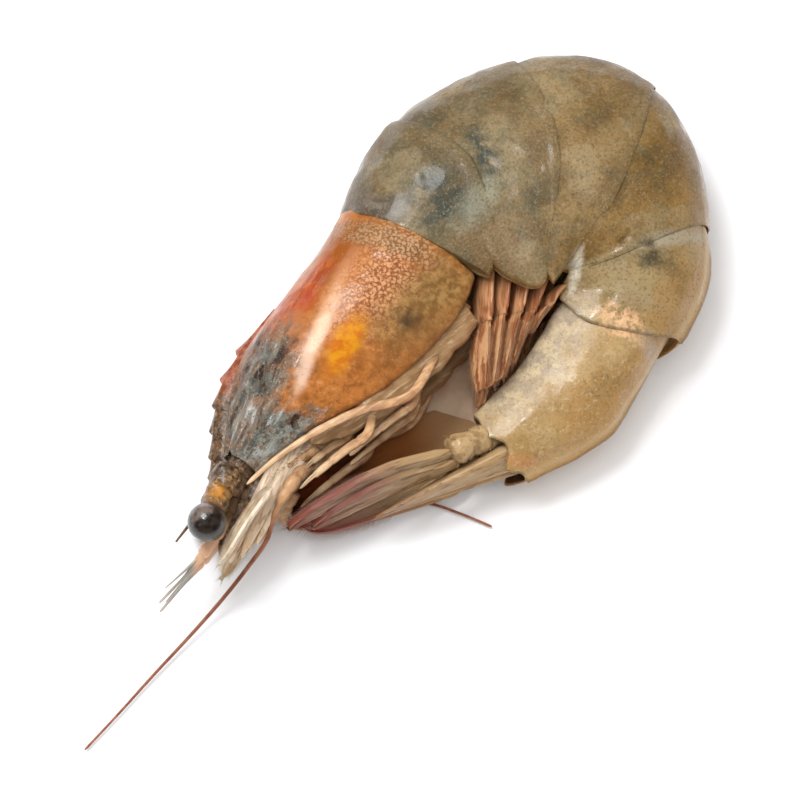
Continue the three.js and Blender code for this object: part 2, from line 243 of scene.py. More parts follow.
# %% Wires
class Wire:
    """One output of a node, which can be used in a formula."""

    def __init__(self, finish, socket):
        self.finish, self.socket = finish, socket

    def maths(self, operation, first, second):
        return self.finish.node("ShaderNodeMath", {"operation": operation}, {0: first, 1: second})

    def __add__(self, other):
        return self.maths("ADD", self, other)

    def __sub__(self, other):
        return self.maths("SUBTRACT", self, other)

    def __rsub__(self, other):
        return self.maths("SUBTRACT", other, self)

    def __mul__(self, other):
        return self.maths("MULTIPLY", self, other)

    def __pow__(self, other):
        return self.maths("POWER", self, other)

    def __abs__(self):
        return self.finish.node("ShaderNodeMath", {"operation": "ABSOLUTE"}, {0: self})

    __radd__, __rmul__ = __add__, __mul__


def colour(*screen):
    """A colour as a screen shows it, three numbers to 255, in the linear numbers that shaders use."""
    linear = [c / 12.92 if c <= 0.04045 else ((c + 0.055) / 1.055) ** 2.4 for c in np.array(screen) / 255]
    return (*map(float, linear), 1.0)


print("wires ready; mid grey in linear numbers:", round(colour(128, 128, 128)[0], 3))

# %% [markdown]
# ## A finish while it is made
#
# Wet shell is noise, scattered cells and ragged ovals, mixed in layers. A second class holds a material while
# it is made. One method adds any node, with its settings first, and the others are short names for the few
# kinds that shells need. Every place is measured in mm on the drawing, so a patch falls where it was drawn.

# %% Finishes
class Finish:
    """A material while it is made. Constants are set on the shader's own sockets."""

    def __init__(self, name, **constants):
        self.material = bpy.data.materials.new(name)
        self.material.use_nodes = True
        self.tree = self.material.node_tree
        self.shader = self.tree.nodes["Principled BSDF"]
        for socket, value in constants.items():
            self.shader.inputs[socket.replace("_", " ")].default_value = value
        self.place = self.node("ShaderNodeTexCoord", output="Object")

    def node(self, kind, settings=None, inputs=None, output=0):
        """Adds a node: first its settings, then the values or wires of its sockets."""
        made = self.tree.nodes.new(kind)
        for name, value in (settings or {}).items():
            setattr(made, name, value)
        for socket, value in (inputs or {}).items():
            if isinstance(value, Wire):
                self.tree.links.new(value.socket, made.inputs[socket])
            else:
                made.inputs[socket].default_value = value
        return Wire(self, made.outputs[output])

    def mark(self, name):
        """A named number that the mesh keeps at its points."""
        return self.node("ShaderNodeAttribute", {"attribute_name": name}, output="Fac")

    def mapped(self, size, seed, stretch, turn):
        """The place, turned about the vertical and counted in features of size mm, longer where stretched."""
        inputs = {"Vector": self.place, "Location": (seed * MM * 7,) * 3,
                  "Rotation": (0, 0, math.radians(turn)), "Scale": [size * MM * s for s in stretch]}
        return self.node("ShaderNodeMapping", {"vector_type": "TEXTURE"}, inputs)

    def noise(self, size, detail=3.0, rough=0.55, warp=0.0, seed=0.0, stretch=(1, 1, 1), turn=0.0):
        """Noise from 0 to 1, with features about size mm across."""
        where = self.mapped(size, seed, stretch, turn)
        inputs = {"Vector": where, "Scale": 1.0, "Detail": detail, "Roughness": rough, "Distortion": warp}
        return self.node("ShaderNodeTexNoise", {}, inputs)

    def cells(self, size, feature="F1", seed=0.0):
        """Distance to the nearest of scattered points about size mm apart, or to the edge between them."""
        inputs = {"Vector": self.mapped(size, seed, (1, 1, 1), 0.0), "Scale": 1.0}
        return self.node("ShaderNodeTexVoronoi", {"feature": feature}, inputs, "Distance")

    def step(self, value, low, high):
        """0 where value is under low, 1 over high; low may be the larger."""
        inputs = {"Value": value, "From Min": low, "From Max": high}
        return self.node("ShaderNodeMapRange", {"interpolation_type": "SMOOTHSTEP"}, inputs)

    def mix(self, factor, first, second):
        """The second colour over the first, as far as factor says."""
        inputs = {0: factor, 6: first, 7: second}
        return self.node("ShaderNodeMix", {"data_type": "RGBA"}, inputs, output=2)

    def clouds(self, dark, light, *noise_sizes, low=0.35, high=0.65, **noise_settings):
        """Two colours in soft clouds."""
        return self.mix(self.step(self.noise(*noise_sizes, **noise_settings), low, high),
                        colour(*dark), colour(*light))

    def patch(self, x, y, long, short, turn=0.0, ragged=0.5, ragged_size=2.0, soft=0.5):
        """A ragged oval seen from above, at a place of the drawing: 1 inside, 0 outside."""
        centre = ((x + SHIFT[0]) * MM, (y + SHIFT[1]) * MM, 0)
        offset = self.node("ShaderNodeVectorMath", {"operation": "SUBTRACT"}, {0: self.place, 1: centre})
        c, s = math.cos(math.radians(turn)), math.sin(math.radians(turn))
        parts = []
        for dx, dy, reach in ((c, s, long * MM), (-s, c, short * MM)):
            inputs = {0: offset, 1: (dx / reach, dy / reach, 0)}
            parts.append(self.node("ShaderNodeVectorMath", {"operation": "DOT_PRODUCT"}, inputs, "Value"))
        distance = (parts[0] * parts[0] + parts[1] * parts[1]) ** 0.5
        edge = (self.noise(ragged_size, 3.0, seed=x + y) - 0.5) * (2 * ragged)
        return self.step(distance + edge, 1 + soft, 1 - soft)

    def patches(self, shade, *layers):
        """Patches over a shade, one after another: each has patch's own values, a strength and a colour."""
        for place, strength, tint in layers:
            tint = tint if isinstance(tint, Wire) else colour(*tint)
            shade = self.mix(self.patch(*place) * strength, shade, tint)
        return shade

    def done(self, shade, roughness, height=None, relief=0.1, coat=None):
        """Wires up what varies over the surface. Height is a bump of relief mm."""
        wanted = {"Base Color": shade, "Roughness": roughness}
        if coat is not None:
            wanted["Coat Weight"] = coat
        if height is not None:
            inputs = {"Height": height, "Distance": relief * MM, "Strength": 1.0}
            wanted["Normal"] = self.node("ShaderNodeBump", {}, inputs)
        for socket, wire in wanted.items():
            self.tree.links.new(wire.socket, self.shader.inputs[socket])
        print("finish", self.material.name, "nodes:", len(self.tree.nodes))
        return self.material


WET = {"Coat_Roughness": 0.1, "Coat_IOR": 1.36, "IOR": 1.4, "Specular_IOR_Level": 0.35}


def flesh(weight, red, green, blue):
    """Light that spreads under the skin: how much of it, and how many mm it goes in each colour."""
    return {"Subsurface_Weight": weight, "Subsurface_Scale": 1.0,
            "Subsurface_Radius": (red * MM, green * MM, blue * MM)}


print("finishes ready; wet shell:", WET)

# %% [markdown]
# ## The tail shell's colours
#
# The tail rings are olive grey-beige and half clear, and along the back of the first four rings they carry
# painted shade. The colour changes slowly from ring to ring, to ochre on the last one. A photograph could be
# painted on, but it would stretch and stop at the sides, while soft clouds that follow the mark "along" hold
# up from every side.

# %% Tail shell colours
TAIL_LENGTHS = [  # where each colour comes in along the tail, how strongly, and its dark and light clouds
    (0.16, 0.24, 1.0, (101, 84, 55), (124, 108, 74)),
    (0.32, 0.4, 0.8, (116, 90, 50), (142, 114, 70)),
    (0.5, 0.56, 0.8, (104, 76, 30), (130, 100, 48)),
    (0.66, 0.7, 0.9, (136, 112, 72), (160, 138, 96)),
    (0.82, 0.86, 0.95, (160, 128, 78), (180, 150, 102)),
]


def ring_colours(f, along, turn):
    """The slow change of colour from ring to ring, under clouds of light and dark, with painted shade along
    the back of the first four rings.
    """
    clouds = f.step(f.noise(5, 5, 0.6, seed=3), 0.38, 0.62)
    shade = f.mix(clouds, colour(86, 75, 50), colour(108, 94, 64))
    for start, end, strength, dark, light in TAIL_LENGTHS:
        length = f.mix(clouds, colour(*dark), colour(*light))
        shade = f.mix(f.step(along, start, end) * strength, shade, length)
    # painted shade along the back of the first four rings
    back_shade = f.step(turn, 0.26, 0.06) * f.step(along, 0.66, 0.5)
    shade = f.mix(back_shade * 0.6, shade, colour(84, 61, 33))
    warm = f.step(f.noise(2.8, 4, 0.6, seed=61), 0.46, 0.64)
    shade = f.mix(warm * 0.26, shade, colour(140, 104, 58))
    veil, before_last = f.noise(5.5, 4, 0.6, seed=65), f.step(along, 0.85, 0.8)
    shade = f.mix(f.step(veil, 0.5, 0.64) * before_last * 0.5, shade, colour(156, 138, 104))
    shade = f.mix(f.step(veil, 0.48, 0.34) * before_last * 0.5, shade, colour(74, 60, 36))
    cool = f.step(f.noise(2.4, 4, 0.6, seed=63), 0.48, 0.66) * f.step(along, 0.8, 0.6)
    return f.mix(cool * 0.3, shade, colour(80, 86, 70))


print("tail colours:", len(TAIL_LENGTHS) + 1)

# %% [markdown]
# ## What shows through the tail shell, and its painted highlights
#
# Blue-grey flesh shows through behind the first joints, a pale round spot near the first ring's back, and
# dark spots and rosy ones lower down. A pale teal streak on the first rings and a white glint further back
# are painted highlights. Each could be a small painted decal. They are ragged ovals placed from above,
# because those are a line each and fade into the shell like stains.

# %% Stains and painted highlights of the tail shell
BLUE_STAINS = [(3.4, 17.6, 2.4, 1.5, 20), (8.2, 21.0, 1.2, 3.0, 20), (5.4, 15.4, 1.6, 3.4, -60)]
DARK_SPOTS = [(24.6, 12.1, 0.7, 0.5, 0), (25.0, 10.6, 1.2, 0.8, 20), (22.6, 3.6, 0.6, 0.25, 0)]


def ring_stains_and_highlights(f, shade, along, turn, last):
    """Ragged stains and painted highlights, from the last ring's inner side to the spots of the first ones.
    """
    pale = f.clouds((172, 158, 140), (206, 188, 156), 1.6, 4, 0.6, seed=24, low=0.42, high=0.6)
    shade = f.patches(
        shade,
        ((13.6, 3.2, 3.6, 9.0, -36, 0.5), last * 0.85, pale),  # the last ring's inner side
        ((19.6, -2.6, 4.4, 1.8, 20, 0.8, 1.2), last * 0.5, (160, 118, 62)))
    ochre = f.step(f.noise(4, 3, seed=9) * 0.5 - turn, -0.12, 0.1) * f.step(along, 0.5, 0.8)
    shade = f.mix(ochre * 0.6, shade, colour(178, 132, 72))
    bluish = f.step(f.noise(1.3, 4, 0.6, seed=33), 0.36, 0.56) * 0.9
    shade = f.patches(shade, *[((*oval, 0.9, 1.2, 0.8), bluish, (44, 56, 50)) for oval in BLUE_STAINS])
    shade = f.patches(
        shade,
        ((27.5, 13.0, 4.2, 0.7, 18, 0.4, 1.2), 0.7, (160, 150, 129)),  # damp along the fifth ring's front
        ((25.2, 2.2, 2.4, 0.9, -40, 0.5, 1.2), 0.7, (168, 145, 122)),
        ((17.5, 9.5, 1.7, 0.5, 75, 0.9, 0.7, 0.8), 0.7, (224, 216, 196)))  # a painted highlight, a white glint
    # small dark spots near the joints of the last rings
    shade = f.patches(shade, *[((*oval, 0.8, 0.8, 0.7), 0.8, (48, 47, 34)) for oval in DARK_SPOTS])
    flecked = f.step(f.noise(0.6, 3, 0.6, seed=41), 0.5, 0.62)
    rosy = f.step(f.noise(0.8, 3, 0.6, seed=43), 0.36, 0.56)
    lens = f.clouds((82, 72, 62), (116, 106, 96), 1.4, 3, seed=67, low=0.46, high=0.6)
    return f.patches(
        shade,
        ((20.6, -1.6, 2.2, 1.0, 40, 0.7, 1.0), flecked * 0.5, (92, 88, 74)),
        ((22.2, 4.4, 2.4, 1.5, -25, 0.8, 1.0), rosy * 0.8, (244, 192, 146)),
        ((-3.4, 15.6, 3.4, 1.5, 0, 0.4), 0.75, lens),  # the grey front of the first ring
        # a pale teal streak over the first rings: a painted highlight
        ((7.8, 15.8, 3.2, 1.3, 56, 0.9, 1.2, 0.8), 0.55, (156, 158, 138)),
        ((9.0, 11.6, 3.4, 2.2, -20, 0.8), 0.5, (131, 99, 61)))  # brown above the side flaps


print("blue and dark stains:", len(BLUE_STAINS), len(DARK_SPOTS))

# %% [markdown]
# ## The rings' edges and their fine grain
#
# A shell looks like shell because of its edges and its grain: a thin darker rim at each ring's rear, paler
# rims on the side flaps, a thin dark line along the keel, and thousands of pigment cells. A texture of dots
# could be tiled over it, but tiles repeat, so scattered cells are thinned out by a slower noise.

# %% Edges and grain of the tail shell
def ring_rims(f, shade, along, ring, turn, last):
    """The rear rims, and the side flaps with their own pale rims."""
    flaps = f.step(along, 0.8, 0.7)
    shade = f.mix(f.step(ring, 0.8, 0.97) * f.step(along, 0.86, 0.8) * 0.35, shade, colour(121, 102, 70))
    shade = f.mix(f.step(turn, 0.64, 0.7) * flaps * 0.65, shade, colour(142, 104, 52))
    flap_rim = f.step(turn, 0.72, 0.75) * f.step(turn, 0.82, 0.78) * flaps
    shade = f.mix(flap_rim * 0.6, shade, colour(196, 170, 130))
    return f.mix(f.step(ring, 0.982, 1.0) * (last * 0.3 + 0.35), shade, colour(77, 58, 37))


def ring_grain(f, shade, along, last, sand, dots):
    """Flecks on the last ring, then fine sand, pale dots and dark pigment cells."""
    shade = f.patches(shade, ((12.0, -9.0, 1.6, 0.5, 0, 0.9, 0.8), last * 0.3, (206, 130, 92)))
    flecks = f.step(f.noise(0.45, 3, 0.7, seed=71), 0.5, 0.62) * f.step(f.noise(3, 3, seed=73), 0.36, 0.6)
    shade = f.mix(flecks * last * 0.4, shade, colour(128, 114, 82))
    flecks = f.step(f.noise(0.5, 3, 0.7, seed=77), 0.54, 0.66)
    shade = f.mix(flecks * last * 0.3, shade, colour(212, 194, 156))
    shade = f.mix(f.step(sand, 0.5, 0.34) * (0.45 - last * 0.2), shade, colour(77, 60, 34))
    shade = f.mix(f.step(sand, 0.56, 0.7) * 0.4, shade, colour(157, 139, 105))
    grain = f.step(dots, 0.34, 0.16) * f.step(f.noise(3.4, 4, 0.6, seed=21), 0.42, 0.66)
    shade = f.mix(grain * 0.4, shade, colour(157, 142, 111))
    pigment = f.step(f.cells(0.4), 0.26, 0.12) * f.step(f.noise(2.6, 3, seed=5), 0.48, 0.65)
    return f.mix(pigment * f.step(along, 0.8, 0.6) * 0.5, shade, colour(47, 37, 22))


def tail_shell_finish():
    """Colours, stains and painted highlights, rims and grain in turn, then the keel with painted light beside
    it, painted shade inside the last ring's turned-in end, and the pale knuckles.
    """
    f = Finish("tail_shell_wet", **flesh(0.25, 1.6, 1.1, 0.7), **WET)
    along, ring, turn = f.mark("along"), f.mark("ring"), f.mark("turn")
    last = f.step(along, 0.82, 0.86)
    sand, dots = f.noise(0.3, 2, 0.7, seed=51), f.cells(0.3, seed=3)
    shade = ring_colours(f, along, turn)
    shade = ring_stains_and_highlights(f, shade, along, turn, last)
    shade = ring_rims(f, shade, along, ring, turn, last)
    shade = ring_grain(f, shade, along, last, sand, dots)
    keeled = f.step(along, 0.6, 0.72)
    # painted light: lighter beside the keel of the last rings, over the shade that falls there
    shade = f.mix(f.step(turn, 0.12, 0.06) * keeled * 0.35, shade, colour(206, 172, 122))
    shade = f.mix(f.step(turn, 0.022, 0.008) * keeled * 0.5, shade, colour(62, 40, 30))
    # painted shade inside the last ring's turned-in end
    shade = f.mix(f.step(ring, 1.1, 1.6), shade, colour(66, 41, 23))
    knuckle = f.clouds((142, 112, 74), (182, 152, 110), 1.0, 4, 0.6, seed=69, low=0.36, high=0.6)
    shade = f.mix(f.mark("pale") * 0.95, shade, knuckle)
    rough = f.noise(1.2, 4, seed=2) * 0.25 + 0.32
    height = f.noise(0.9, 4, 0.6) * 0.5 + sand * 0.45 - dots * 0.2
    coat = f.step(f.noise(3, 3, seed=6), 0.4, 0.7) * 0.6 + 0.2
    return f.done(shade, rough, height, relief=0.13, coat=coat)


tail_shell = tail_shell_finish()

# %% [markdown]
# ## What shows through the head shell
#
# The head shell is clear, and shows what lies under it: an orange-red band along the back, a pale stripe, the
# strong yellow of the liver, olive gills with a dark smudge, and an uneven brown net over pale dots. The pale
# stripe is brightened in part with a painted highlight. The organs could be modelled inside a glassy shell,
# but that takes long to render, and the exported model couldn't keep it. So they are ragged ovals placed from
# above, which both sides get.

# %% Head shell organs
NET_OVAL = (-1.8, 8.0, 5.8, 2.6, 54, 0.9, 1.4, 0.8)


def head_organs(f, net):
    """Orange shell over gills, liver and net. The net is bright on its dots and dark between them."""
    shade = f.clouds((152, 90, 36), (182, 114, 52), 3, 4, seed=1, low=0.36, high=0.62)
    mottle = f.noise(0.8, 4, 0.65, seed=71)
    shade = f.mix(f.step(mottle, 0.5, 0.38) * 0.5, shade, colour(120, 66, 26))
    shade = f.mix(f.step(mottle, 0.54, 0.66) * 0.5, shade, colour(216, 146, 84))
    olive = f.mix(f.step(mottle, 0.38, 0.64), colour(120, 88, 46), colour(158, 124, 74))
    red = f.clouds((150, 54, 22), (180, 94, 44), 0.7, 3, 0.6, seed=18, stretch=(3, 1, 1), turn=58,
                   low=0.4, high=0.6)
    shade = f.patches(
        shade,
        ((2.6, 5.6, 6.2, 3.4, 42, 0.5), 0.9, olive),  # the gills
        ((1.4, 1.4, 5.6, 1.5, 42, 0.7), 0.5, (138, 88, 43)),  # their lower edge
        ((-6.0, 11.0, 4.6, 2.2, 60, 0.4), 0.9, (144, 74, 0)),  # the orange back
        ((-10.6, 6.2, 5.4, 1.6, 54, 0.7), 0.85, red),  # the red band along it
        ((-9.4, 5.6, 2.0, 0.9, 60, 0.8, 1.0), 0.5, (166, 50, 24)),  # its reddest spot
        ((-11.2, 2.2, 3.0, 1.5, 62, 0.7, 1.0), 0.75, (170, 110, 65)),  # tan in front of it
        ((-6.4, 6.6, 4.6, 0.8, 66, 0.5, 1.2, 0.8), 0.65, (208, 150, 108)),  # the pale stripe, faint
        ((-8.3, 1.5, 4.5, 0.65, 68, 0.5, 1.2, 0.8), 0.88, (232, 186, 150)),  # the same, bright, partly a painted highlight
        ((-9.5, -1.4, 1.9, 0.7, 76, 0.5, 0.8), 0.7, (214, 182, 160)))  # and its front end
    lace = f.mix(net, colour(122, 66, 32), colour(214, 156, 112))
    dull_lace = f.mix(net, colour(112, 82, 50), colour(170, 138, 100))
    liver = f.clouds((192, 106, 0), (208, 138, 2), 1.2, 3, seed=8, low=0.4, high=0.6)
    return f.patches(
        shade,
        (NET_OVAL, 0.7, lace),
        ((-1.2, 12.0, 5.4, 1.5, -22, 0.6, 1.2), 0.7, dull_lace),  # along the rear edge
        ((-5.5, 1.0, 3.1, 1.35, 62, 0.3, 2.0), 0.97, liver),
        ((0.9, 3.6, 1.3, 0.9, 0, 0.8, 0.8, 0.8), 0.75, (64, 46, 32)))  # the dark smudge


print("the net lies about x, y in mm:", NET_OVAL[:2])

# %% [markdown]
# ## The crumpled front of the head shell
#
# In front the shell is thin and crumpled, blue-grey over brown, with painted shade in its folds and painted
# white glints along their crests. Real folds this fine would need millions of faces. The large ones are in
# the mesh, and a stretched noise, turned the same way as they run, gives the small ones as colour, with their
# painted shade and highlights, and as bump.

# %% Head shell finish
def crumpled_front(f, lower, streak, glints):
    """Painted shade in the folds, brown and teal between them, painted highlights on the thin white crests,
    dark specks and painted white glints.
    """
    # the darkest tone is painted shade in the valleys of the folds
    crumple = f.mix(f.step(streak, 0.38, 0.46), colour(26, 25, 25), colour(98, 80, 64))
    crumple = f.mix(f.step(streak, 0.49, 0.55), crumple, colour(122, 110, 96))
    # painted highlights on the crests of the folds
    crumple = f.mix(f.step(streak, 0.59, 0.66) * 0.9, crumple, colour(168, 174, 170))
    crumple = f.mix(f.step(f.noise(1.8, 3, seed=12), 0.46, 0.58) * 0.5, crumple, colour(80, 100, 98))
    crumple = f.mix(f.step(f.noise(2.2, 3, seed=19), 0.52, 0.64) * 0.5, crumple, colour(138, 98, 68))
    milky = lower * f.step(f.noise(1.1, 4, 0.65, seed=75), 0.44, 0.56)
    crumple = f.mix(milky * 0.7, crumple, colour(152, 158, 148))
    crumple = f.mix(f.step(glints, 0.4, 0.32) * 0.7, crumple, colour(40, 34, 30))
    # painted white glints
    return f.mix(f.step(glints, 0.58, 0.68) * 0.3, crumple, colour(206, 208, 198))


def head_shell_finish():
    """The organs, the crumpled front over them, the crest, the beak, and fine dots over all."""
    f = Finish("head_shell_wet", **flesh(0.25, 1.8, 1.1, 0.6), **WET)
    edges = f.cells(0.46, "DISTANCE_TO_EDGE", seed=2) + (f.noise(0.34, 2, 0.6, seed=73) - 0.5) * 1.1
    net = f.step(edges, 0.0, 0.26)
    shade = head_organs(f, net)
    upper = f.patch(-14.6, -2.6, 6.6, 3.1, 64, 0.5, 1.0, 0.6)
    upper = upper + f.patch(-14.2, -8.4, 3.4, 2.2, 30, 0.6, 1.0, 0.7) * 0.9
    lower = f.patch(-11.6, -7.8, 4.4, 1.7, 30, 0.7, 1.0, 0.7)
    front = f.step(upper + lower * 0.9, 0.1, 0.9)
    streak = f.noise(1.6, 3, 0.55, warp=0.6, seed=4, stretch=(3.2, 0.75, 1), turn=62)
    glints = f.noise(0.28, 2, 0.7, seed=23)
    shade = f.mix(front * 0.95, shade, crumpled_front(f, lower, streak, glints))
    ridge = f.clouds((131, 59, 43), (170, 109, 86), 0.9, 3, seed=6, high=0.6)
    shade = f.mix(f.mark("crest") * 0.9, shade, ridge)
    lump, beak = f.noise(0.7, 4, 0.7, warp=0.8, seed=31), f.mark("beak")
    gold = f.mix(f.step(lump, 0.4, 0.5), colour(56, 43, 34), colour(111, 86, 64))
    gold = f.mix(f.step(lump, 0.56, 0.64), gold, colour(155, 131, 101))
    shade = f.mix(f.step(beak, 0.0, 0.12) * 0.95, shade, gold)
    shade = f.mix(f.step(beak, 0.6, 1.0) * 0.9, shade, colour(53, 44, 40))
    shade = f.mix(f.mark("front"), shade, gold)
    pigment = f.step(f.cells(0.4), 0.26, 0.12) * f.step(f.noise(3, 2, seed=5), 0.45, 0.6)
    shade = f.mix(pigment * 0.4, shade, colour(103, 59, 29))
    pale = f.step(f.cells(0.36, seed=7), 0.3, 0.14) * f.step(f.noise(2.4, 3, seed=15), 0.45, 0.65)
    shade = f.mix(pale * (1 - front) * 0.4, shade, colour(187, 154, 116))
    rough = f.noise(1.0, 4, seed=2) * 0.25 + 0.26
    grain = f.noise(0.8, 4, 0.6) * 0.5 + net * f.patch(*NET_OVAL) * 0.25
    height = grain + front * (streak * 2.6 + glints * 0.6)
    coat = (f.step(f.noise(2, 2, seed=6), 0.3, 0.7) * 0.45 + 0.2) * (1 - front * 0.4)
    return f.done(shade, rough, height, relief=0.17, coat=coat)


head_shell = head_shell_finish()

# %% [markdown]
# ## The body's outlines
#
# A prawn's body is a tube of changing section: a round back, flat sides, and side flaps that hang past the
# belly. Two curves give its back and its belly, and two more its half width and its height over the table.
# These are the model's own numbers, so the skin lies on the solid. Measuring the solid would do it too, but
# its few flat faces would show through.

# %% The head's and the tail's outlines
HEAD_BACK = [(-6, 16.8), (-8, 13.2), (-10.4, 9.8), (-12.9, 6.4), (-15, 3.2), (-16.4, 0.2), (-17, -2.8),
             (-17.3, -5.8), (-17.6, -8.6)]
HEAD_BELLY = [(7.4, 9), (6, 5.2), (3.2, 1.8), (0.2, -1.2), (-3.2, -3.6), (-6.8, -5.6), (-10, -7.4),
              (-12.6, -9.2), (-14.2, -10.8)]
HEAD_HALF_WIDTH = [7, 7.3, 7.3, 7, 6.5, 5.8, 5, 4.2, 3.5]
HEAD_LEVEL = [7, 7.05, 7, 6.85, 6.75, 6.65, 6.5, 6.4, 6.4]
TAIL_BACK = [(-6.2, 16.6), (-4.4, 21.2), (-1.2, 26.4), (4.8, 30.9), (11.2, 33.4), (18.6, 34.2), (25.6, 31),
             (29.6, 24.5), (31, 16), (30.6, 9.9), (27.5, 3.6), (21.2, -5.1), (12.8, -10)]
TAIL_BELLY = [(6.8, 9.8), (7.4, 10.8), (8.4, 11.4), (11.4, 10.9), (14.2, 10.7), (15.4, 10.3), (16.2, 10),
              (16.9, 10), (17.3, 9.8), (17.1, 8.9), (16.2, 7.6), (12.2, 1.2), (7.6, -4)]
TAIL_HALF_WIDTH = [7.1, 7.4, 7.5, 7.5, 7.5, 7.4, 7.2, 6.9, 6.5, 6, 5.4, 4.6, 3.4]
TAIL_LEVEL = [7, 7.1, 7.15, 7.15, 7.15, 7.1, 6.95, 6.75, 6.45, 6.1, 5.7, 5.1, 4.6]
print("outline points of head and tail:", len(HEAD_BACK), len(TAIL_BACK))

# %% [markdown]
# ## A length of the body
#
# One section serves the whole body, read by how far round it a point lies: 0 at the back, 1 at the belly. Its
# corners are softened, because real shell edges are round. Lofting drawn sections would also work, but a
# formula lets every later piece ask where the surface is, and how many mm one step along it covers.

# %% A body read along and round
SIDE_STARTS, FLAP_STARTS, INSIDE_STARTS = 0.42, 0.67, 0.76  # how far round the back, side and flap end


class Body:
    """A length of the body, read by how far along it and how far round it a point lies."""

    def __init__(self, back, belly, half_width, level, shoulder, tuck, flap, hollow):
        self.back, self.belly = curve_of(back), curve_of(belly)
        self.half_width, self.level = curve_of(half_width), curve_of(level)
        self.turns = np.linspace(0, 1, 1001)
        share, side = self.section(self.turns, shoulder, tuck, flap, hollow)
        self.share, self.side = self.rounded(share, 1), self.rounded(side, -1)

    @staticmethod
    def section(turn, shoulder, tuck, flap, hollow):
        """How far down and how far out the section lies, as shares of the depth and the half width."""
        swing = np.clip(turn / SIDE_STARTS, 0, 1) * math.pi / 2
        fall = np.clip((turn - SIDE_STARTS) / (FLAP_STARTS - SIDE_STARTS), 0, 1)
        edge = np.clip((turn - FLAP_STARTS) / (INSIDE_STARTS - FLAP_STARTS), 0, 1)
        inward = np.clip((turn - INSIDE_STARTS) / (1 - INSIDE_STARTS), 0, 1)
        share = shoulder * (1 - np.cos(swing)) + (1 - shoulder) * fall - hollow * (1 - (1 - inward) ** 2)
        side = np.sin(swing) - (1 - tuck) * fall**2 - flap * edge - (tuck - flap) * inward
        return share, side

    @staticmethod
    def rounded(values, mirror, spread=14):
        """The section's corners softened, as real shell edges are."""
        reach = 3 * spread
        longer = np.concatenate([mirror * values[reach:0:-1], values, mirror * values[-2:-reach - 2:-1]])
        weights = bell(np.arange(-reach, reach + 1), 0, spread)
        return np.convolve(longer, weights / weights.sum(), "valid")

    def at(self, s, turn, swell=1.0, hang=0.0):
        """Points [.., xyz] at shares s of the length. turn goes from 0, the back, to 1 or -1, the belly.
        swell sizes the section about its middle, and hang lowers a point by mm towards the belly."""
        s, turn, swell, hang = np.broadcast_arrays(np.asarray(s, float), turn, swell, hang)
        share = np.interp(abs(turn), self.turns, self.share)[..., None]
        side = np.interp(abs(turn), self.turns, self.side)
        back, belly = self.back(s), self.belly(s)
        middle, down = (back + belly) / 2, belly - back
        lowered = hang[..., None] / np.linalg.norm(down, axis=-1, keepdims=True)
        spot = middle + (back - middle) * swell[..., None] + down * (swell[..., None] * share + lowered)
        height = self.level(s)[..., 0] + np.sign(turn) * side * self.half_width(s)[..., 0] * swell
        return np.concatenate([spot, height[..., None]], axis=-1)

    def pace(self, s, turn):
        """How many mm the surface covers there for one whole length of s."""
        little = 0.004
        middle = np.clip(s, little, 1 - little)
        ahead, behind = middle + little, middle - little
        gone = np.linalg.norm(self.at(ahead, turn) - self.at(behind, turn), axis=-1)
        return gone / (ahead - behind)


HEAD_CURVES = (HEAD_BACK, HEAD_BELLY, HEAD_HALF_WIDTH, HEAD_LEVEL)
TAIL_CURVES = (TAIL_BACK, TAIL_BELLY, TAIL_HALF_WIDTH, TAIL_LEVEL)
head = Body(*HEAD_CURVES, shoulder=0.5, tuck=0.6, flap=0.14, hollow=0.12)
tail = Body(*TAIL_CURVES, shoulder=0.55, tuck=0.8, flap=0.14, hollow=0.08)
tail_end = Body(*TAIL_CURVES, shoulder=0.5, tuck=0.62, flap=0.2, hollow=0.06)
print("the back at the tail's start, in mm:", tail.at(0.0, 0.0).round(1))

# %% [markdown]
# ## Where a tail ring ends
#
# Each ring's front slides under the ring before it, and its rear edge bulges back over the next one, most
# of all half way down its side. A boolean could cut such edges, but it leaves ragged faces. Here a ring is
# a grid whose front and rear rows aren't straight, so its edges are clean. The last ring's end has two
# bulges.

# %% Edges of a tail ring
RINGS = 6
RING_BULGE = [3.0, 3.0, 2.2, 1.0, 1.6, 0.0]  # how far each rear edge bulges back, in mm
RING_LOBE = [2.4, 3.6, 2.2, 0.8, 0.6, 0.0]  # how far each ring's side lobes hang below its belly line
RING_TUCK = 1.4  # how far a ring's front reaches under the ring before it
RING_OVERLAP = 0.25  # how far its rear edge lies over the next ring everywhere
RING_LONGEST = 0.4 / RINGS  # no edge goes further than this share of the tail
BACK_NOTCH_RING = 5  # its rear edge is notched at the back, and shows the last ring's front
KEELED_FROM = 5  # the rings from here on carry a keel
HINGED_RINGS = (4, 5)  # these show their hinges clearly
HINGE_TURN = 0.47  # how far round a ring its hinge lies
RING_ROWS, RING_AROUND = 78, 192
RING_TURN = np.linspace(-1, 1, RING_AROUND, endpoint=False)
RING_ROUND = abs(RING_TURN)


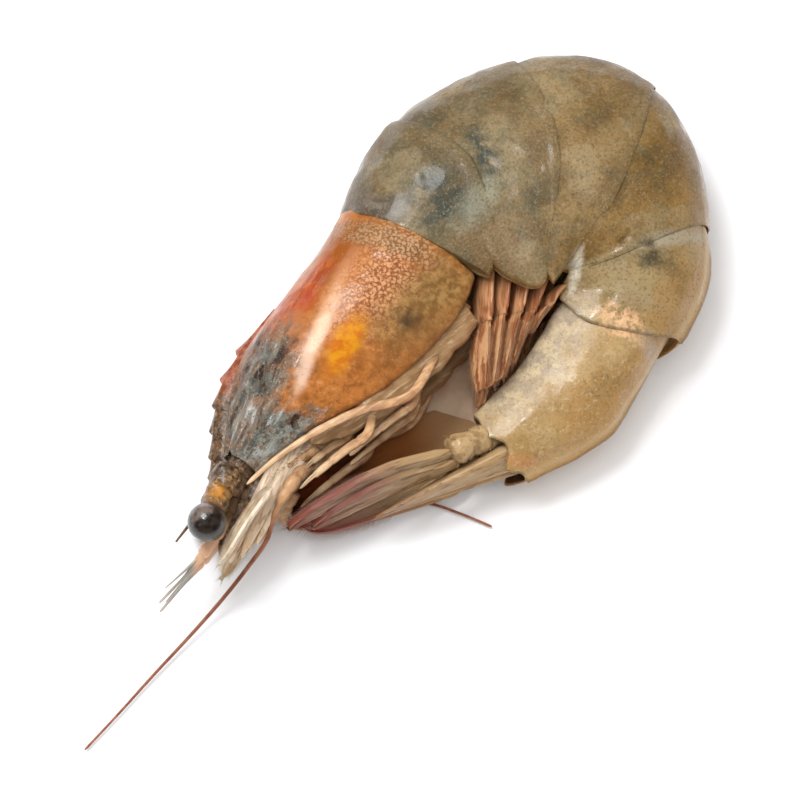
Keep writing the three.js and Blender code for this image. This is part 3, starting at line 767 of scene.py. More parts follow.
def ring_edges(number, body):
    """Where a ring starts and ends at each place round it, as shares of the tail's length."""
    start, end = (number - 1) / RINGS, number / RINGS

    def share(distance, s):
        return distance / body.pace(np.full_like(RING_TURN, s), RING_TURN)

    down_the_side = soft_step(RING_ROUND, 0.05, 0.42) * (1 - soft_step(RING_ROUND, 0.46, 0.74))
    notch = 0.9 * bell(RING_ROUND, 0, 0.12) * (number == BACK_NOTCH_RING)
    front = start - np.minimum(share(RING_TUCK, start), RING_LONGEST)
    bulge = RING_BULGE[number - 1] * down_the_side + RING_OVERLAP - notch
    rear = end + np.minimum(share(bulge, end), RING_LONGEST)
    if number == RINGS:
        two_bulges = 0.9 * bell(RING_ROUND, 0.52, 0.06) + 1.3 * bell(RING_ROUND, 0.22, 0.08)
        rear = rear + share(two_bulges - 0.2 * bell(RING_ROUND, 0.38, 0.03), end)
    return front, rear


for number in (1, RINGS):
    front, rear = ring_edges(number, tail_end if number == RINGS else tail)
    print("ring", number, "takes up to", ((rear - front).max() * 100).round(1), "% of the tail")

# %% [markdown]
# ## The tail rings
#
# Between its edges a ring swells a little towards the rear, and its side flaps end in rounded lobes that hang
# into the curl. Each has faint dents, a hinge's knob and notch half way down its side, and a raised rim that
# turns under. A thickness modifier would give an edge too, but not one that narrows and turns in like this.

# %% Tail rings
def ring_relief(number, t, skin):
    """A ring's own hills and hollows, in mm, from how far along and round it each point lies."""
    size, keeled = RING_ROUND, number >= KEELED_FROM
    dents = 0.16 * ripple(skin, 4.5, number) + 0.06 * ripple(skin, 1.4, number + 5)
    knob = 0.12 * bell(size, HINGE_TURN, 0.035) * bell(t, 0.93, 0.05)
    notch = 0.3 * bell(size, HINGE_TURN, 0.02) * bell(t, 0.84, 0.04)
    hinge = (1.0 if number in HINGED_RINGS else 0.15) * (knob - notch)
    raised_rim = 0.05 * bell(t, 0.955, 0.03)
    keel = (0.4 if keeled else 0.15) * bell(size, 0, 0.018) * soft_step(t, 0.1, 0.5)
    furrow_beside_keel = 0.08 * bell(size, 0.12, 0.03) * keeled
    sunk_front = 0.8 * bell(size, 0, 0.22) * (1 - soft_step(t, 0.25, 0.6)) * (number == RINGS)
    return dents + hinge + raised_rim + keel - furrow_beside_keel - sunk_front


def lobe_hang(number, t):
    """How far the side flaps hang down, in mm: a flat-topped lobe from the ring's front to its rear."""
    flap = soft_step(RING_ROUND, 0.5, 0.68) * (1 - soft_step(RING_ROUND, 0.765, 0.81))
    lobe = 1 - (2 * np.clip((t - 0.1) / 0.88, 0, 1) - 1) ** 4
    return RING_LOBE[number - 1] * np.sqrt(np.clip(lobe, 0, 1)) * flap


THIN_RIM = [(0.05, 0.004), (0.03, 0.01), (-0.12, 0.018), (-1.2, 0.05)]  # mm on past the edge, share inwards
END_RIM = [(0.1, 0.01), (0.05, 0.04), (-0.5, 0.08), (-1.4, 0.14), (-1.6, 0.4), (-1.6, 0.9)]


def ring_shape(number):
    """A ring's grid, and for each point how far along the tail, along the ring and round it it lies."""
    body = tail_end if number == RINGS else tail
    front, rear = ring_edges(number, body)
    t = np.linspace(0, 1, RING_ROWS)[:, None]
    s = front + (rear - front) * t
    swell = 0.97 + 0.03 * soft_step(t, 0.05, 0.3) + 0.008 * t**2 - 0.006 * bell(t, 0.42, 0.12)
    step_on = body.at(np.ones_like(RING_TURN), RING_TURN) - body.at(np.full_like(RING_TURN, 0.99), RING_TURN)

    def past_the_end(s, swell, hang=0.0):
        """The body's surface, going straight on where s is over 1."""
        inside = body.at(np.minimum(s, 1), RING_TURN, swell, hang)
        return inside + step_on * (np.maximum(s - 1, 0) / 0.01)[..., None]

    skin = past_the_end(s, swell, lobe_hang(number, t))
    skin = raised(skin, ring_relief(number, t, skin))
    turned_in = END_RIM if number == RINGS else THIN_RIM
    pace = body.pace(s[-1], RING_TURN)
    rim = [past_the_end(s[-1] + on / pace, swell[-1] * (1 - drop)) for on, drop in turned_in]
    along = np.concatenate([s, np.repeat(s[-1:], len(rim), axis=0)])
    # rows turned deep inside are marked 2, where the finish paints shade
    within = np.where(np.array([drop for _, drop in turned_in]) > 0.05, 2.0, 1.0)[:, None]
    ring = np.concatenate([np.broadcast_to(t, s.shape), np.broadcast_to(within, (len(rim), RING_AROUND))])
    return np.concatenate([skin, np.stack(rim)]), along, ring


for number in range(1, RINGS + 1):
    skin, along, ring = ring_shape(number)
    clay = Clay().grid(skin, along=along, ring=ring, turn=RING_ROUND)
    settle(clay.build(f"ring_{number}_shell"), tail_shell, "tail_shell", f"tail_ring_{number}")

# %% [markdown]
# ## The head shell
#
# One thin shell covers the whole head. A groove crosses its side, a ridge follows it forward, and the front
# is crumpled, because the shell is thinnest there. Its rear edge lies over the first tail ring. It could be
# sculpted by hand, but bumps and grooves given by how far along and round they lie can be moved by a number.

# %% Head shell
HEAD_ROWS, HEAD_AROUND = 190, 224
HEAD_BULGE = 1.5  # how far the rear edge bulges over the first tail ring, in mm
FOLD_TURN = math.radians(64)  # which way the folds of the front run, seen from above
FOLD_STRETCH = 3.4  # how much longer than wide they are
HEAD_LENGTH = 30.0  # mm along the head, to turn lengths into shares
SOCKET_RIM = [(0, 0.95), (0.6, 0.9), (2.5, 0.85)]  # mm back from the front edge, and size of the section


def head_relief(t, size, skin):
    """The head shell's own hills and hollows, in mm, from how far along and round it each point lies."""
    neck = 0.52 + 0.22 * soft_step(size, 0.05, 0.5)
    neck_groove = 0.4 * bell(t, neck, 0.022) * soft_step(size, 0.08, 0.16) * (1 - soft_step(size, 0.42, 0.52))
    side_ridge = 0.3 * bell(size, 0.44, 0.025) * soft_step(t, 0.6, 0.72) * (1 - soft_step(t, 0.9, 1.0))
    crest_furrow = 0.25 * bell(size, 0.09, 0.03) * soft_step(t, 0.4, 0.55)
    gill_furrow = 0.2 * bell(size, 0.24, 0.05) * (1 - soft_step(t, 0.35, 0.5))
    lower_rim = 0.16 * bell(size, 0.655, 0.018)
    dents = 0.14 * ripple(skin, 4.0, 3) + 0.05 * ripple(skin, 1.2, 8)
    front = soft_step(t, 0.52, 0.66) * soft_step(size, 0.03, 0.12) * (1 - soft_step(size, 0.42, 0.55))
    c, s = math.cos(FOLD_TURN), math.sin(FOLD_TURN)
    lengthwise, crosswise = skin[..., 0] * c + skin[..., 1] * s, skin[..., 1] * c - skin[..., 0] * s
    stretched = np.stack([lengthwise / FOLD_STRETCH, crosswise, skin[..., 2] * 0.6], axis=-1)
    folds = front * (0.5 * ripple(stretched, 1.25, 21) - 0.3)
    return side_ridge + lower_rim + dents + folds - neck_groove - crest_furrow - gill_furrow


def head_shape():
    """The shell from its bulged rear edge to the eye sockets, with both ends turned in."""
    turn = np.linspace(-1, 1, HEAD_AROUND, endpoint=False)
    size = abs(turn)
    t = np.linspace(0, 1, HEAD_ROWS)[:, None]
    bulge = HEAD_BULGE * soft_step(size, 0.04, 0.3) * (1 - soft_step(size, 0.4, 0.7))
    rear = bulge / head.pace(np.zeros_like(turn), turn)
    sockets = 0.6 * bell(size, 0.25, 0.05) - 0.9 * bell(size, 0.34, 0.05) - 0.9 * bell(size, 0, 0.16)
    front = 1 - sockets / head.pace(np.full_like(turn, 0.98), turn)
    s = -rear + (front + rear) * t
    skin = head.at(np.maximum(s, 0), turn, 1.0 + 0.008 * bell(t, 0, 0.1))
    step_back = head.at(np.zeros_like(turn), turn) - head.at(np.full_like(turn, 0.01), turn)
    skin = skin + step_back[None] * (-np.minimum(s, 0) / 0.01)[..., None]
    skin = raised(skin, head_relief(t, size, skin))
    neck = head.at(np.full_like(turn, 0.02), turn, 0.95)
    under = np.stack([neck, skin[0] * 0.5 + neck * 0.5])
    inner = np.stack([head.at(front - back / HEAD_LENGTH, turn, shrink) for back, shrink in SOCKET_RIM])
    return np.concatenate([under, skin, inner])


print("head shell points:", HEAD_ROWS * HEAD_AROUND)

# %% [markdown]
# ## The crest and the beak
#
# The head's back carries a saw-toothed crest that runs out in front as the beak, which guards the eyes. The
# teeth could be separate cones, but on a prawn they are one blade, cut into a saw. So the crest is a wedge
# along a curve: its top rises slowly and drops at once, tooth by tooth, and its foot is sunk in the shell.

# %% Crest and beak
CREST = [(-12.6, 7.2), (-14.9, 4.2), (-16.7, 1.3), (-17.9, -1.3), (-18.4, -3.8), (-18.6, -6.3), (-18.7, -8.8),
         (-18.8, -10.8), (-19.4, -12.8), (-20.6, -14.9), BEAK_TIP]
CREST_TEETH = 8
TOOTH_HEIGHT = 0.55
TOOTH_PEAK = 0.82  # how far along its own length a tooth is highest
FIRST_TOOTH, TEETH_SHARE = 0.06, 0.86  # where along the crest the teeth start, and how much of it they take
CREST_HALF_WIDTH = 0.5
CREST_SUNK = 3.0  # how far its foot reaches down into the shell
CREST_ROWS, CREST_AROUND = 420, 12


def crest_shape():
    """A wedge along the crest's line, a row of points at a time, and how far along it each row lies."""
    t = np.linspace(0, 1, CREST_ROWS)
    phase = (t - FIRST_TOOTH) / TEETH_SHARE * CREST_TEETH
    tooth = np.where((phase > 0) & (phase < CREST_TEETH), phase % 1, 0)
    rise = np.where(tooth < TOOTH_PEAK, (tooth / TOOTH_PEAK) ** 2, ((1 - tooth) / (1 - TOOTH_PEAK)) ** 0.7)
    height = TOOTH_HEIGHT * rise * (1 - 0.75 * t)
    line = curve_of(CREST)(t)
    ahead = np.gradient(line, axis=0)
    ahead /= np.linalg.norm(ahead, axis=1, keepdims=True)
    out = np.stack([ahead[:, 1], -ahead[:, 0]], axis=1)
    taper = 1 - soft_step(t, 0.62, 1.0) * 0.93
    depth = CREST_SUNK * (1 - soft_step(t, 0.68, 0.9)) + 1.5 * taper * soft_step(t, 0.3, 0.7)
    level = HEAD_LEVEL[-1]
    rows = []
    for angle in full_turn(CREST_AROUND):
        up, across = math.cos(angle), math.sin(angle)
        reach = np.where(up > 0, height * up**2 + 0.12 * up, depth * up)
        width = (CREST_HALF_WIDTH * taper + 0.06) * across * (1 - 0.6 * max(up, 0))
        lean = 0.35 * height * max(up, 0)
        spot = line + out * reach[:, None] + ahead * lean[:, None]
        rows.append(np.concatenate([spot, (level + width)[:, None]], axis=1))
    return np.stack(rows, axis=1), t


clay = Clay().grid(head_shape())
crest, t = crest_shape()
clay.grid(crest, crest=(1 - soft_step(t, 0.24, 0.4))[:, None], beak=soft_step(t, 0.24, 0.85)[:, None])
settle(clay.build("head_shell_with_beak"), head_shell, "head_shell", "carapace")

# %% [markdown]
# ## Limbs
#
# Legs, feelers and knuckles are tubes along a bent route, round or a little flattened. A curve object with a
# bevel would draw them too, but its thickness is hard to vary along the way. Here each row has its own
# radius, so a limb can swell and pinch at its joints. The route is spaced by true length, as in the model.

# %% Limbs
def path_of(points, count):
    """Points evenly spaced along a smooth curve through the given ones, and the curve's direction at each."""
    knots = np.array(points, float)
    knots = np.concatenate([[2 * knots[0] - knots[1]], knots, [2 * knots[-1] - knots[-2]]])
    gap = np.linalg.norm(np.diff(knots, axis=0), axis=1) ** 0.5
    w = np.linspace(0, 1, 30, endpoint=False)[:, None]
    line = []
    for i in range(1, len(knots) - 2):
        (a, b, c, d), (g, h, k) = knots[i - 1:i + 3], gap[i - 1:i + 2]
        leave = ((b - a) / g - (c - a) / (g + h) + (c - b) / h) * h
        arrive = ((c - b) / h - (d - b) / (h + k) + (d - c) / k) * h
        bend = 3 * (c - b) - 2 * leave - arrive
        line.append(((2 * (b - c) + leave + arrive) * w + bend) * w * w + leave * w + b)
    line = np.concatenate(line + [knots[-2:-1]])
    gone = np.append(0, np.cumsum(np.linalg.norm(np.diff(line, axis=0), axis=1)))
    wanted = np.linspace(0, gone[-1], count)
    spots = np.stack([np.interp(wanted, gone, line[:, k]) for k in range(3)], axis=1)
    ahead = np.gradient(spots, axis=0)
    return spots, ahead / np.linalg.norm(ahead, axis=1, keepdims=True)


def limb_shape(route, radius, around=12, flat=1.0):
    """A tube along the route. radius has one value a row, and flat squashes it from above."""
    spots, ahead = path_of(route, len(radius))
    side = np.cross(ahead, (0, 0, 1))
    side /= np.linalg.norm(side, axis=1, keepdims=True) + 1e-9
    top = np.cross(side, ahead)
    angle = full_turn(around)
    out = side[:, None] * np.cos(angle)[:, None] + top[:, None] * (flat * np.sin(angle))[:, None]
    return spots[:, None] + out * radius[:, None, None]


def jointed(t, joints, swell=0.14, pinch=0.25):
    """A factor on a limb's radius: each segment widens towards its far end, then pinches in at the joint."""
    factor = np.ones_like(t)
    for joint in joints:
        factor += swell * bell(t, joint - 0.025, 0.03) - pinch * bell(t, joint + 0.006, 0.009)
    return factor


def rounded_end(t, length, past):
    """A factor on a limb's radius: 1, then falling round to almost 0 over the last share, length."""
    return np.sqrt(np.clip((1 + past - t) / length, 0, 1))


print("the radius at a joint is", jointed(np.array([0.5]), [0.5]).round(2), "of the limb's own")

# %% [markdown]
# ## Leaves and hairs
#
# Fan blades, scales, paddles and skins are thin leaves, cupped and a little bowed, and most are fringed with
# fine hairs. Hair particles would be quick, but they get lost when the model is exported. So each hair is a
# tiny three-sided spike of its own. One seeded chance gives their lengths, the same at every run.

# %% Leaves and hairs
def leaf_shape(root, tip, across, half, thickness, bow=0.0, cup=0.0, rows=60, around=48, relief=None):
    """A thin blade from root to tip. half and thickness are read along it, and relief over it. Gives its
    points, and for each how far along and across the blade it lies, and whether it is on the front."""
    root, tip, wide = np.array(root, float), np.array(tip, float), unit(across)
    face = unit(np.cross(tip - root, wide))
    t = np.linspace(0, 1, rows)[:, None]
    angle = full_turn(around)[None]
    side, front = np.sin(angle), np.cos(angle)
    lift = bow * np.sin(math.pi * t) + cup * side**2 * soft_step(2 * t) + thickness(t) / 2 * front
    if relief is not None:
        lift = lift + relief(t, side) * np.sign(front) * np.minimum(1, 3 * abs(front))
    points = root + (tip - root) * t[..., None] + wide * (half(t) * side)[..., None] + face * lift[..., None]
    return points, t, side, np.where(front > 0, 1.0, 0.0)


chance = Random(7)


def hair_shape(root, direction, length, width=0.035):
    """One fine hair: three-sided and pointed."""
    t = np.linspace(0, 1, 4)
    direction = unit(direction)
    side = unit(np.cross(direction, (0.13, 0.37, 0.92)))
    top = np.cross(side, direction)
    angle = full_turn(3)
    spots = np.asarray(root) + direction * (t * length)[:, None]
    out = side * np.cos(angle)[:, None] + top * np.sin(angle)[:, None]
    return spots[:, None] + out[None] * (width * (1 - 0.85 * t))[:, None, None]


def fringe(clay, points, row_from, spread, length, every=1, **marks):
    """Hairs round a leaf's edge, from row_from to its tip, leaning towards the tip."""
    rows, around = points.shape[:2]
    middle = points.mean(axis=1)
    ahead = unit(points[-1].mean(0) - points[0].mean(0))
    for row in range(row_from, rows, every):
        for edge in (around // 4, 3 * around // 4):
            out = points[row, edge] - middle[row]
            lean = ahead + out / (np.linalg.norm(out) + 1e-6) * spread * (1 - row / rows * 0.5)
            clay.grid(hair_shape(points[row, edge], lean, length * chance.uniform(0.75, 1.1)), **marks)


def bristles(clay, points, count, rows, forward, lengths, width, **marks):
    """Short hairs or spines scattered over some rows of a limb, leaning forward."""
    ahead = unit(points[-1].mean(0) - points[0].mean(0)) * forward
    for _ in range(count):
        row, column = chance.randrange(*rows), chance.randrange(points.shape[1])
        out = unit(points[row, column] - points[row].mean(0))
        clay.grid(hair_shape(points[row, column], out + ahead, chance.uniform(*lengths), width), **marks)


print("one hair has", hair_shape((0, 0, 0), (1, 0, 0), 1.0).shape[:2], "points")

# %% [markdown]
# ## The tail fan's finish
#
# The fan's blades are thin and half clear. They are cream near the knuckles and red towards the tips. In the
# hollow between them they are brown, with painted shade that grows dark towards the tips. One material per
# blade would do, but then the colours wouldn't meet. Each blade keeps how far along it and across it a point
# lies, and whether it faces into the hollow, so one material can colour them all.

# %% Fan finish
def fan_finish():
    """Cream to red along the blades, streaked, with brown and painted shade, darkest towards the tips, inside
    the hollow.
    """
    f = Finish("fan_blade_wet", **flesh(0.3, 1.4, 0.7, 0.4), **WET)
    along, side, inside = f.mark("along"), f.mark("side"), f.mark("inside")
    streak = f.noise(0.5, 3, seed=3, stretch=(7, 0.8, 0.8), turn=27)
    shade = f.mix(f.step(along + f.noise(2, 2) * 0.3, 0.3, 0.85), colour(166, 136, 96), colour(148, 114, 92))
    shade = f.mix(f.step(streak, 0.46, 0.36) * 0.6, shade, colour(98, 66, 42))
    shade = f.mix(f.step(streak, 0.56, 0.68) * 0.45, shade, colour(196, 170, 138))
    greyish = f.step(side, 0.1, -0.4) * f.step(along, 0.55, 0.85)
    shade = f.mix(greyish * 0.75, shade, colour(146, 124, 122))
    reddish = f.step(side, 0.4, 0.8) * f.step(along, 0.35, 0.75)
    shade = f.mix(reddish * 0.8, shade, colour(140, 84, 76))
    tips = f.step(along + f.noise(1.5, 2, seed=8) * 0.2, 0.9, 1.08)
    shade = f.mix(tips * 0.8, shade, colour(117, 54, 41))
    # the hollow's faces: brown, with painted shade, darkest towards the tips
    hollow_shade = f.mix(f.step(along, 0.85, 0.45), colour(46, 19, 4), colour(144, 86, 38))
    hollow_shade = f.mix(f.step(along, 0.42, 0.1) * 0.9, hollow_shade, colour(176, 138, 98))
    hollow_shade = f.patches(hollow_shade, ((-7.4, -9.9, 2.2, 1.1, 35, 0.8, 1.0, 0.8), 0.6, (150, 66, 22)))
    shade = f.mix(inside * f.step(side, 0.5, 0.3) * 0.97, shade, hollow_shade)
    shade = f.mix(f.mark("spine"), shade, colour(174, 127, 94))
    rough = f.noise(0.8, 3) * 0.2 + inside * 0.35 + 0.28
    height = streak * 0.8 + f.noise(1.0, 2, seed=9) * 0.4
    coat = (f.noise(2, 2, seed=6) * 0.4 + 0.2) * (1 - inside)
    return f.done(shade, rough, height, relief=0.12, coat=coat)


fan_wet = fan_finish()

# %% [markdown]
# ## The fan's blades
#
# Two pairs of blades make the fan. Each is a shallow trough with two ridges along it, a thick outer edge and
# a fringe of fine hairs. The fan is half closed, so the upper outer blade stands like a wall round a hollow.
# A flat plane could be bent into each, but a leaf with its own relief on both faces keeps its thin edge.

# %% Fan blades
FAN_BLADES = {
    "left_outer": dict(root=(5.2, -8.4, 7.6), tip=(-11, -16.1, 6.5), across=(0.25, 0.2, 1), half=2.1,
                       bow=0.7, start=0.6),
    "left_inner": dict(root=(5.8, -9.0, 6.4), tip=(-8.6, -15.6, 5.4), across=(0.1, 0.2, 1), half=2.0,
                       bow=0.4, start=0.55),
    "right_outer": dict(root=(8.2, -4.4, 0.9), tip=(-10.9, -12.6, 1.9), across=(0.2, -1, 0.05), half=4.8,
                        bow=-0.4, start=0.62, spread=5, fall=3),
    "right_inner": dict(root=(4.2, -8.6, 3.4), tip=(-9.8, -14.4, 3.1), across=(0.35, -1, -0.45), half=2.3,
                        bow=-0.3),
}
ROOT_THICKNESS, TIP_THICKNESS = 0.62, 0.26


def blade_relief(t, side):
    """Two ridges along the blade, a thick outer edge, and fine lines that spread to the rim."""
    ridges = 0.28 * bell(side, -0.12, 0.07) + 0.22 * bell(side, 0.16, 0.06)
    edge = 0.3 * bell(side, 0.88, 0.08)
    lines = 0.05 * np.sin(side * 60 * (0.6 + 0.4 * t)) * soft_step(t, 0.3, 0.5)
    return (ridges * (1 - soft_step(t, 0.75, 1.0)) + edge + lines) * soft_step(t, 0.02, 0.12)


def fan_blade(name, root, tip, across, half, bow, start=0.34, spread=2.2, fall=5):
    """start is the root's share of the full width, spread how soon it is full, fall how late it narrows."""
    def width(t):
        ends = np.sqrt(np.clip((t + 0.004) / 0.05, 0, 1) * np.maximum(0.02, 1 - t**fall))
        return half * (start + (1 - start) * soft_step(spread * t)) * ends

    points, t, side, front = leaf_shape(
        root, tip, across, width, lambda t: ROOT_THICKNESS + (TIP_THICKNESS - ROOT_THICKNESS) * t,
        bow=bow, cup=0.5, rows=90, around=72, relief=blade_relief)
    faces_hollow = front if name.endswith("outer") else 0.0
    clay = Clay().grid(points, along=t, side=side, inside=faces_hollow, spine=0.0)
    fringe(clay, points, row_from=46, spread=1.1, length=1.1, along=0.9, side=1.0, spine=0.4)
    settle(clay.build(f"fan_blade_{name}"), fan_wet, "fan", f"fan_{name}")


for name, form in FAN_BLADES.items():
    fan_blade(name, **form)

# %% [markdown]
# ## The telson
#
# A spike with a grooved back, the telson, lies over the middle of the fan. It has a few small spines on its
# edges. It could be a stretched cone, but a leaf that is thick at its root and sharp at its tip takes the
# groove, the two ridges beside it and the fringe from the same helpers as the blades.

# %% Telson
TELSON_ROOT, TELSON_TIP = (12.6, -7.0, 4.6), (-2.4, -14.1, 4.9)
TELSON_AHEAD = unit((-12.7, -6.0, 0.3))
TELSON_HALF, TELSON_THICKNESS = 2.7, 3.0
TELSON_SPINES = (50, 58, 66, 74)  # rows of the grid
TELSON_ROWS, TELSON_AROUND = 90, 64


def telson_relief(t, side):
    """A groove down the back between two ridges."""
    return (0.4 * bell(abs(side), 0.3, 0.12) - 0.5 * bell(side, 0, 0.16)) * soft_step(t, 0.02, 0.1) * (1 - t)


points, t, side, _ = leaf_shape(
    TELSON_ROOT, TELSON_TIP, (0, 0, 1), lambda t: TELSON_HALF * (1 - t**1.8) + 0.04,
    lambda t: TELSON_THICKNESS * (1 - t) + 0.1, cup=-0.15, rows=TELSON_ROWS, around=TELSON_AROUND,
    relief=telson_relief)
clay = Clay().grid(points, along=0.5 * t, side=side * 0.3, inside=soft_step(t, 0.93, 0.99), spine=0.0)
for row in TELSON_SPINES:
    for edge in (TELSON_AROUND // 4, 3 * TELSON_AROUND // 4):
        out = unit(points[row, edge] - points[row].mean(0))
        spine = hair_shape(points[row, edge] - out * 0.1, out * 0.4 + TELSON_AHEAD, length=0.9, width=0.09)
        clay.grid(spine, spine=1.0)
fringe(clay, points, row_from=56, spread=0.9, length=0.7, every=2, along=0.6, spine=0.5)
settle(clay.build("telson_spike"), fan_wet, "fan", "telson")

# %% [markdown]
# ## The knuckles of the fan
#
# Each pair of blades grows from a knuckle, a swollen, pale, spiny joint beside the telson's root. A ball
# would be the quick way, but the real joint is longer, lumpy, and runs back into the last ring. So it is a
# limb whose route starts inside the ring, with coarse and fine lumps raised on it.

# %% Knuckles of the fan
FAN_BASES = {
    "left": [(8.6, -6.2, 6.3), (6.8, -7.3, 7.2), (4.9, -8.4, 7.5)],
    "right": [(8.6, -5.9, 3.6), (6.9, -6.6, 3.2), (5, -7.4, 3.1)],
}
KNUCKLE_RADIUS = 1.32
KNUCKLE_END = 0.04  # the share at either end over which it narrows
SUNK_ROOT = 0.9  # how far the route is led back into the ring, in lengths of its first stretch


def knuckle(side_name, route):
    """One swollen joint, with a collar, lumps and short spines."""
    t = np.linspace(0, 1, 72)
    first, second = np.array(route[0]), np.array(route[1])
    longer = [tuple(first + (first - second) * SUNK_ROOT), *route]
    collar = 0.18 * bell(t, 0.84, 0.1) - 0.05 * bell(t, 0.66, 0.03)
    radius = KNUCKLE_RADIUS + 0.14 * bell(t, 0.46, 0.14) + collar
    radius *= np.where(t > 1 - KNUCKLE_END, 1 - (t - 1 + KNUCKLE_END) * 6, 1)
    radius *= np.where(t < KNUCKLE_END, 1 - (KNUCKLE_END - t) * 6, 1)
    points = limb_shape(longer, radius, 48)
    points = raised(points, 0.16 * ripple(points, 1.6, 4) + 0.1 * ripple(points, 0.6, 9))
    clay = Clay().grid(points, along=0.9, ring=0.4, turn=0.5, pale=1.0)
    bristles(clay, points, count=46, rows=(30, 70), forward=0.9, lengths=(0.4, 0.9), width=0.05,
             along=1.0, pale=1.0)
    settle(clay.build(f"fan_knuckle_{side_name}"), tail_shell, "tail_shell", f"fan_base_{side_name}")


for side_name, route in FAN_BASES.items():
    knuckle(side_name, route)

# %% [markdown]
# ## The finish of legs and mouthparts
#
# The legs are pale cream with pinkish joints, streaked along their length, and darker along their flat edges.
# Towards the roots they turn brown, partly painted shade under the shell's edge.
# Rings of colour could be painted at each joint, but the joints lie elsewhere on every leg. Each leg keeps a
# mark that is high at its joints instead, and the shared finish reads it.

# %% Limb finish
def limb_finish():
    """Pale cream, streaked along the limb, darker at joints and edges, and brown towards the roots, partly
    painted shade.
    """
    f = Finish("limb_shell_wet", **flesh(0.35, 1.2, 0.8, 0.5), **WET)
    along, joint = f.mark("along"), f.mark("joint")
    shade = f.clouds((206, 164, 122), (172, 128, 90), 1.6, 3)
    shade = f.mix(f.step(along, 0.4, 0.8) * 0.4, shade, colour(222, 192, 154))
    # brown towards the roots and on the band of first joints, partly painted shade under the shell's edge
    shade = f.mix(f.step(along, 0.3, 0.1) * 0.7, shade, colour(138, 108, 72))
    shade = f.mix(joint * 0.4, shade, colour(140, 92, 60))
    vein = f.noise(0.36, 3, seed=4, stretch=(9, 1, 1), turn=36)
    shade = f.mix(f.step(vein, 0.46, 0.36) * 0.35, shade, colour(124, 84, 54))
    shade = f.mix(f.step(vein, 0.54, 0.66) * 0.4, shade, colour(232, 208, 174))
    shade = f.mix(f.step(f.mark("edge"), 0.72, 0.98) * 0.7, shade, colour(116, 76, 48))
    hairy = f.mark("hairy") * f.step(f.noise(1.1, 3, seed=9), 0.35, 0.6)
    shade = f.mix(hairy, shade, colour(156, 115, 77))
    coat = f.noise(1, 2, seed=5) * 0.4 + 0.2
    return f.done(shade, f.noise(0.8, 2) * 0.2 + 0.3, f.noise(0.4, 3, seed=2) * 0.7, relief=0.06, coat=coat)


limb_wet = limb_finish()

# %% [markdown]
# ## Where the legs start
#
# Ten walking legs grow from the belly line, side by side, and their first joints are pressed flat into one
# lobed band under the shell's lower edge. Ten small plates would be truer, but only their lobed outline
# shows. So the band is one leaf on each side, with a lobe for each joint, and the rearmost leg carries it.

# %% The legs' first joints
KEEL_START = np.array(HEAD_BELLY[0], float)
KEEL_FORWARD = unit(np.array(HEAD_BELLY[-1]) - KEEL_START)
KEEL_DOWN = np.array([-KEEL_FORWARD[1], KEEL_FORWARD[0]])
SIDES = {"left": 1, "right": -1}
BAND_OUT = 3.2  # how far each band lies from the prawn's middle, in mm
BAND_LOBES = 5.5
BAND_BULGE = 1.5  # how far it bows away from the belly line, in mm


def keel_point(forward, down, height):
    """A point beside the head's belly line: forward along it, down from it, at a height."""
    return (*(KEEL_START + KEEL_FORWARD * forward + KEEL_DOWN * down), height)


def leg_bases(side):
    """The legs' first joints, pressed flat into one lobed band along the belly line."""
    def lobes(t):
        return abs(np.sin(BAND_LOBES * math.pi * t))

    height = HEAD_LEVEL[3] + BAND_OUT * side
    points, t, edge, _ = leaf_shape(
        keel_point(2.6, 2.3, height), keel_point(23.5, 1.5, height - 0.6 * side), (*KEEL_DOWN, -0.5 * side),
        lambda t: (1.15 + 0.3 * lobes(t)) * (1.02 - t**6) ** 0.5, lambda t: 1.1 - 0.4 * t, rows=90, around=40,
        relief=lambda t, s: 0.16 * lobes(t) - 0.1 * bell(s, 0.1, 0.2))
    bulged = points + np.sin(math.pi * t)[..., None] * np.array((*KEEL_DOWN, 0.0)) * BAND_BULGE
    return raised(bulged, 0.1 * ripple(points, 1.0, 12)), abs(edge)


print("the belly line runs", np.linalg.norm(np.array(HEAD_BELLY[-1]) - KEEL_START).round(1), "mm")

# %% [markdown]
# ## Walking legs
#
# Each leg goes down to a knee, folds forward and lies along the belly. Its segments widen to their far ends
# and pinch in at the joints, which is what makes a limb look covered in shell, and not like string. The first
# three pairs end in small pincers. An armature could fold straight legs, but a route says the same in a line.

# %% Walking legs
LEG_RADIUS = 0.5
LEG_FLATNESS = 0.65
LEG_ROOT_BACK = 2.2  # how far behind its start a leg comes out from under the shell
LEG_ROOT_OUT = 2.3
LEG_ROOT_DOWN = 1.0  # mm, like the two above
LEG_JOINTS = (0.2, 0.52, 0.74)
LEG_ROWS, LEG_AROUND = 120, 20
LEGS = [  # mm along, forward, below, out and up from the belly line, and the share at which the knee lies
    dict(start=17.6, fold=8, below=3, out=1, rise=0.3, knee=0.3),
    dict(start=15, fold=12.5, below=4.7, out=2.9, rise=0.3, knee=0.3),
    dict(start=11.2, fold=9.5, below=4.1, out=0.75, rise=0.1, knee=0.3),
    dict(start=9.2, fold=12, below=5, out=1.5, rise=0.2, knee=0.3),
    dict(start=4.4, fold=27, below=4.9, out=4.3, rise=4, knee=0.33),
]
PINCER_LEGS = 3
PINCER_STARTS, PINCER_WIDTH = 0.88, 0.62


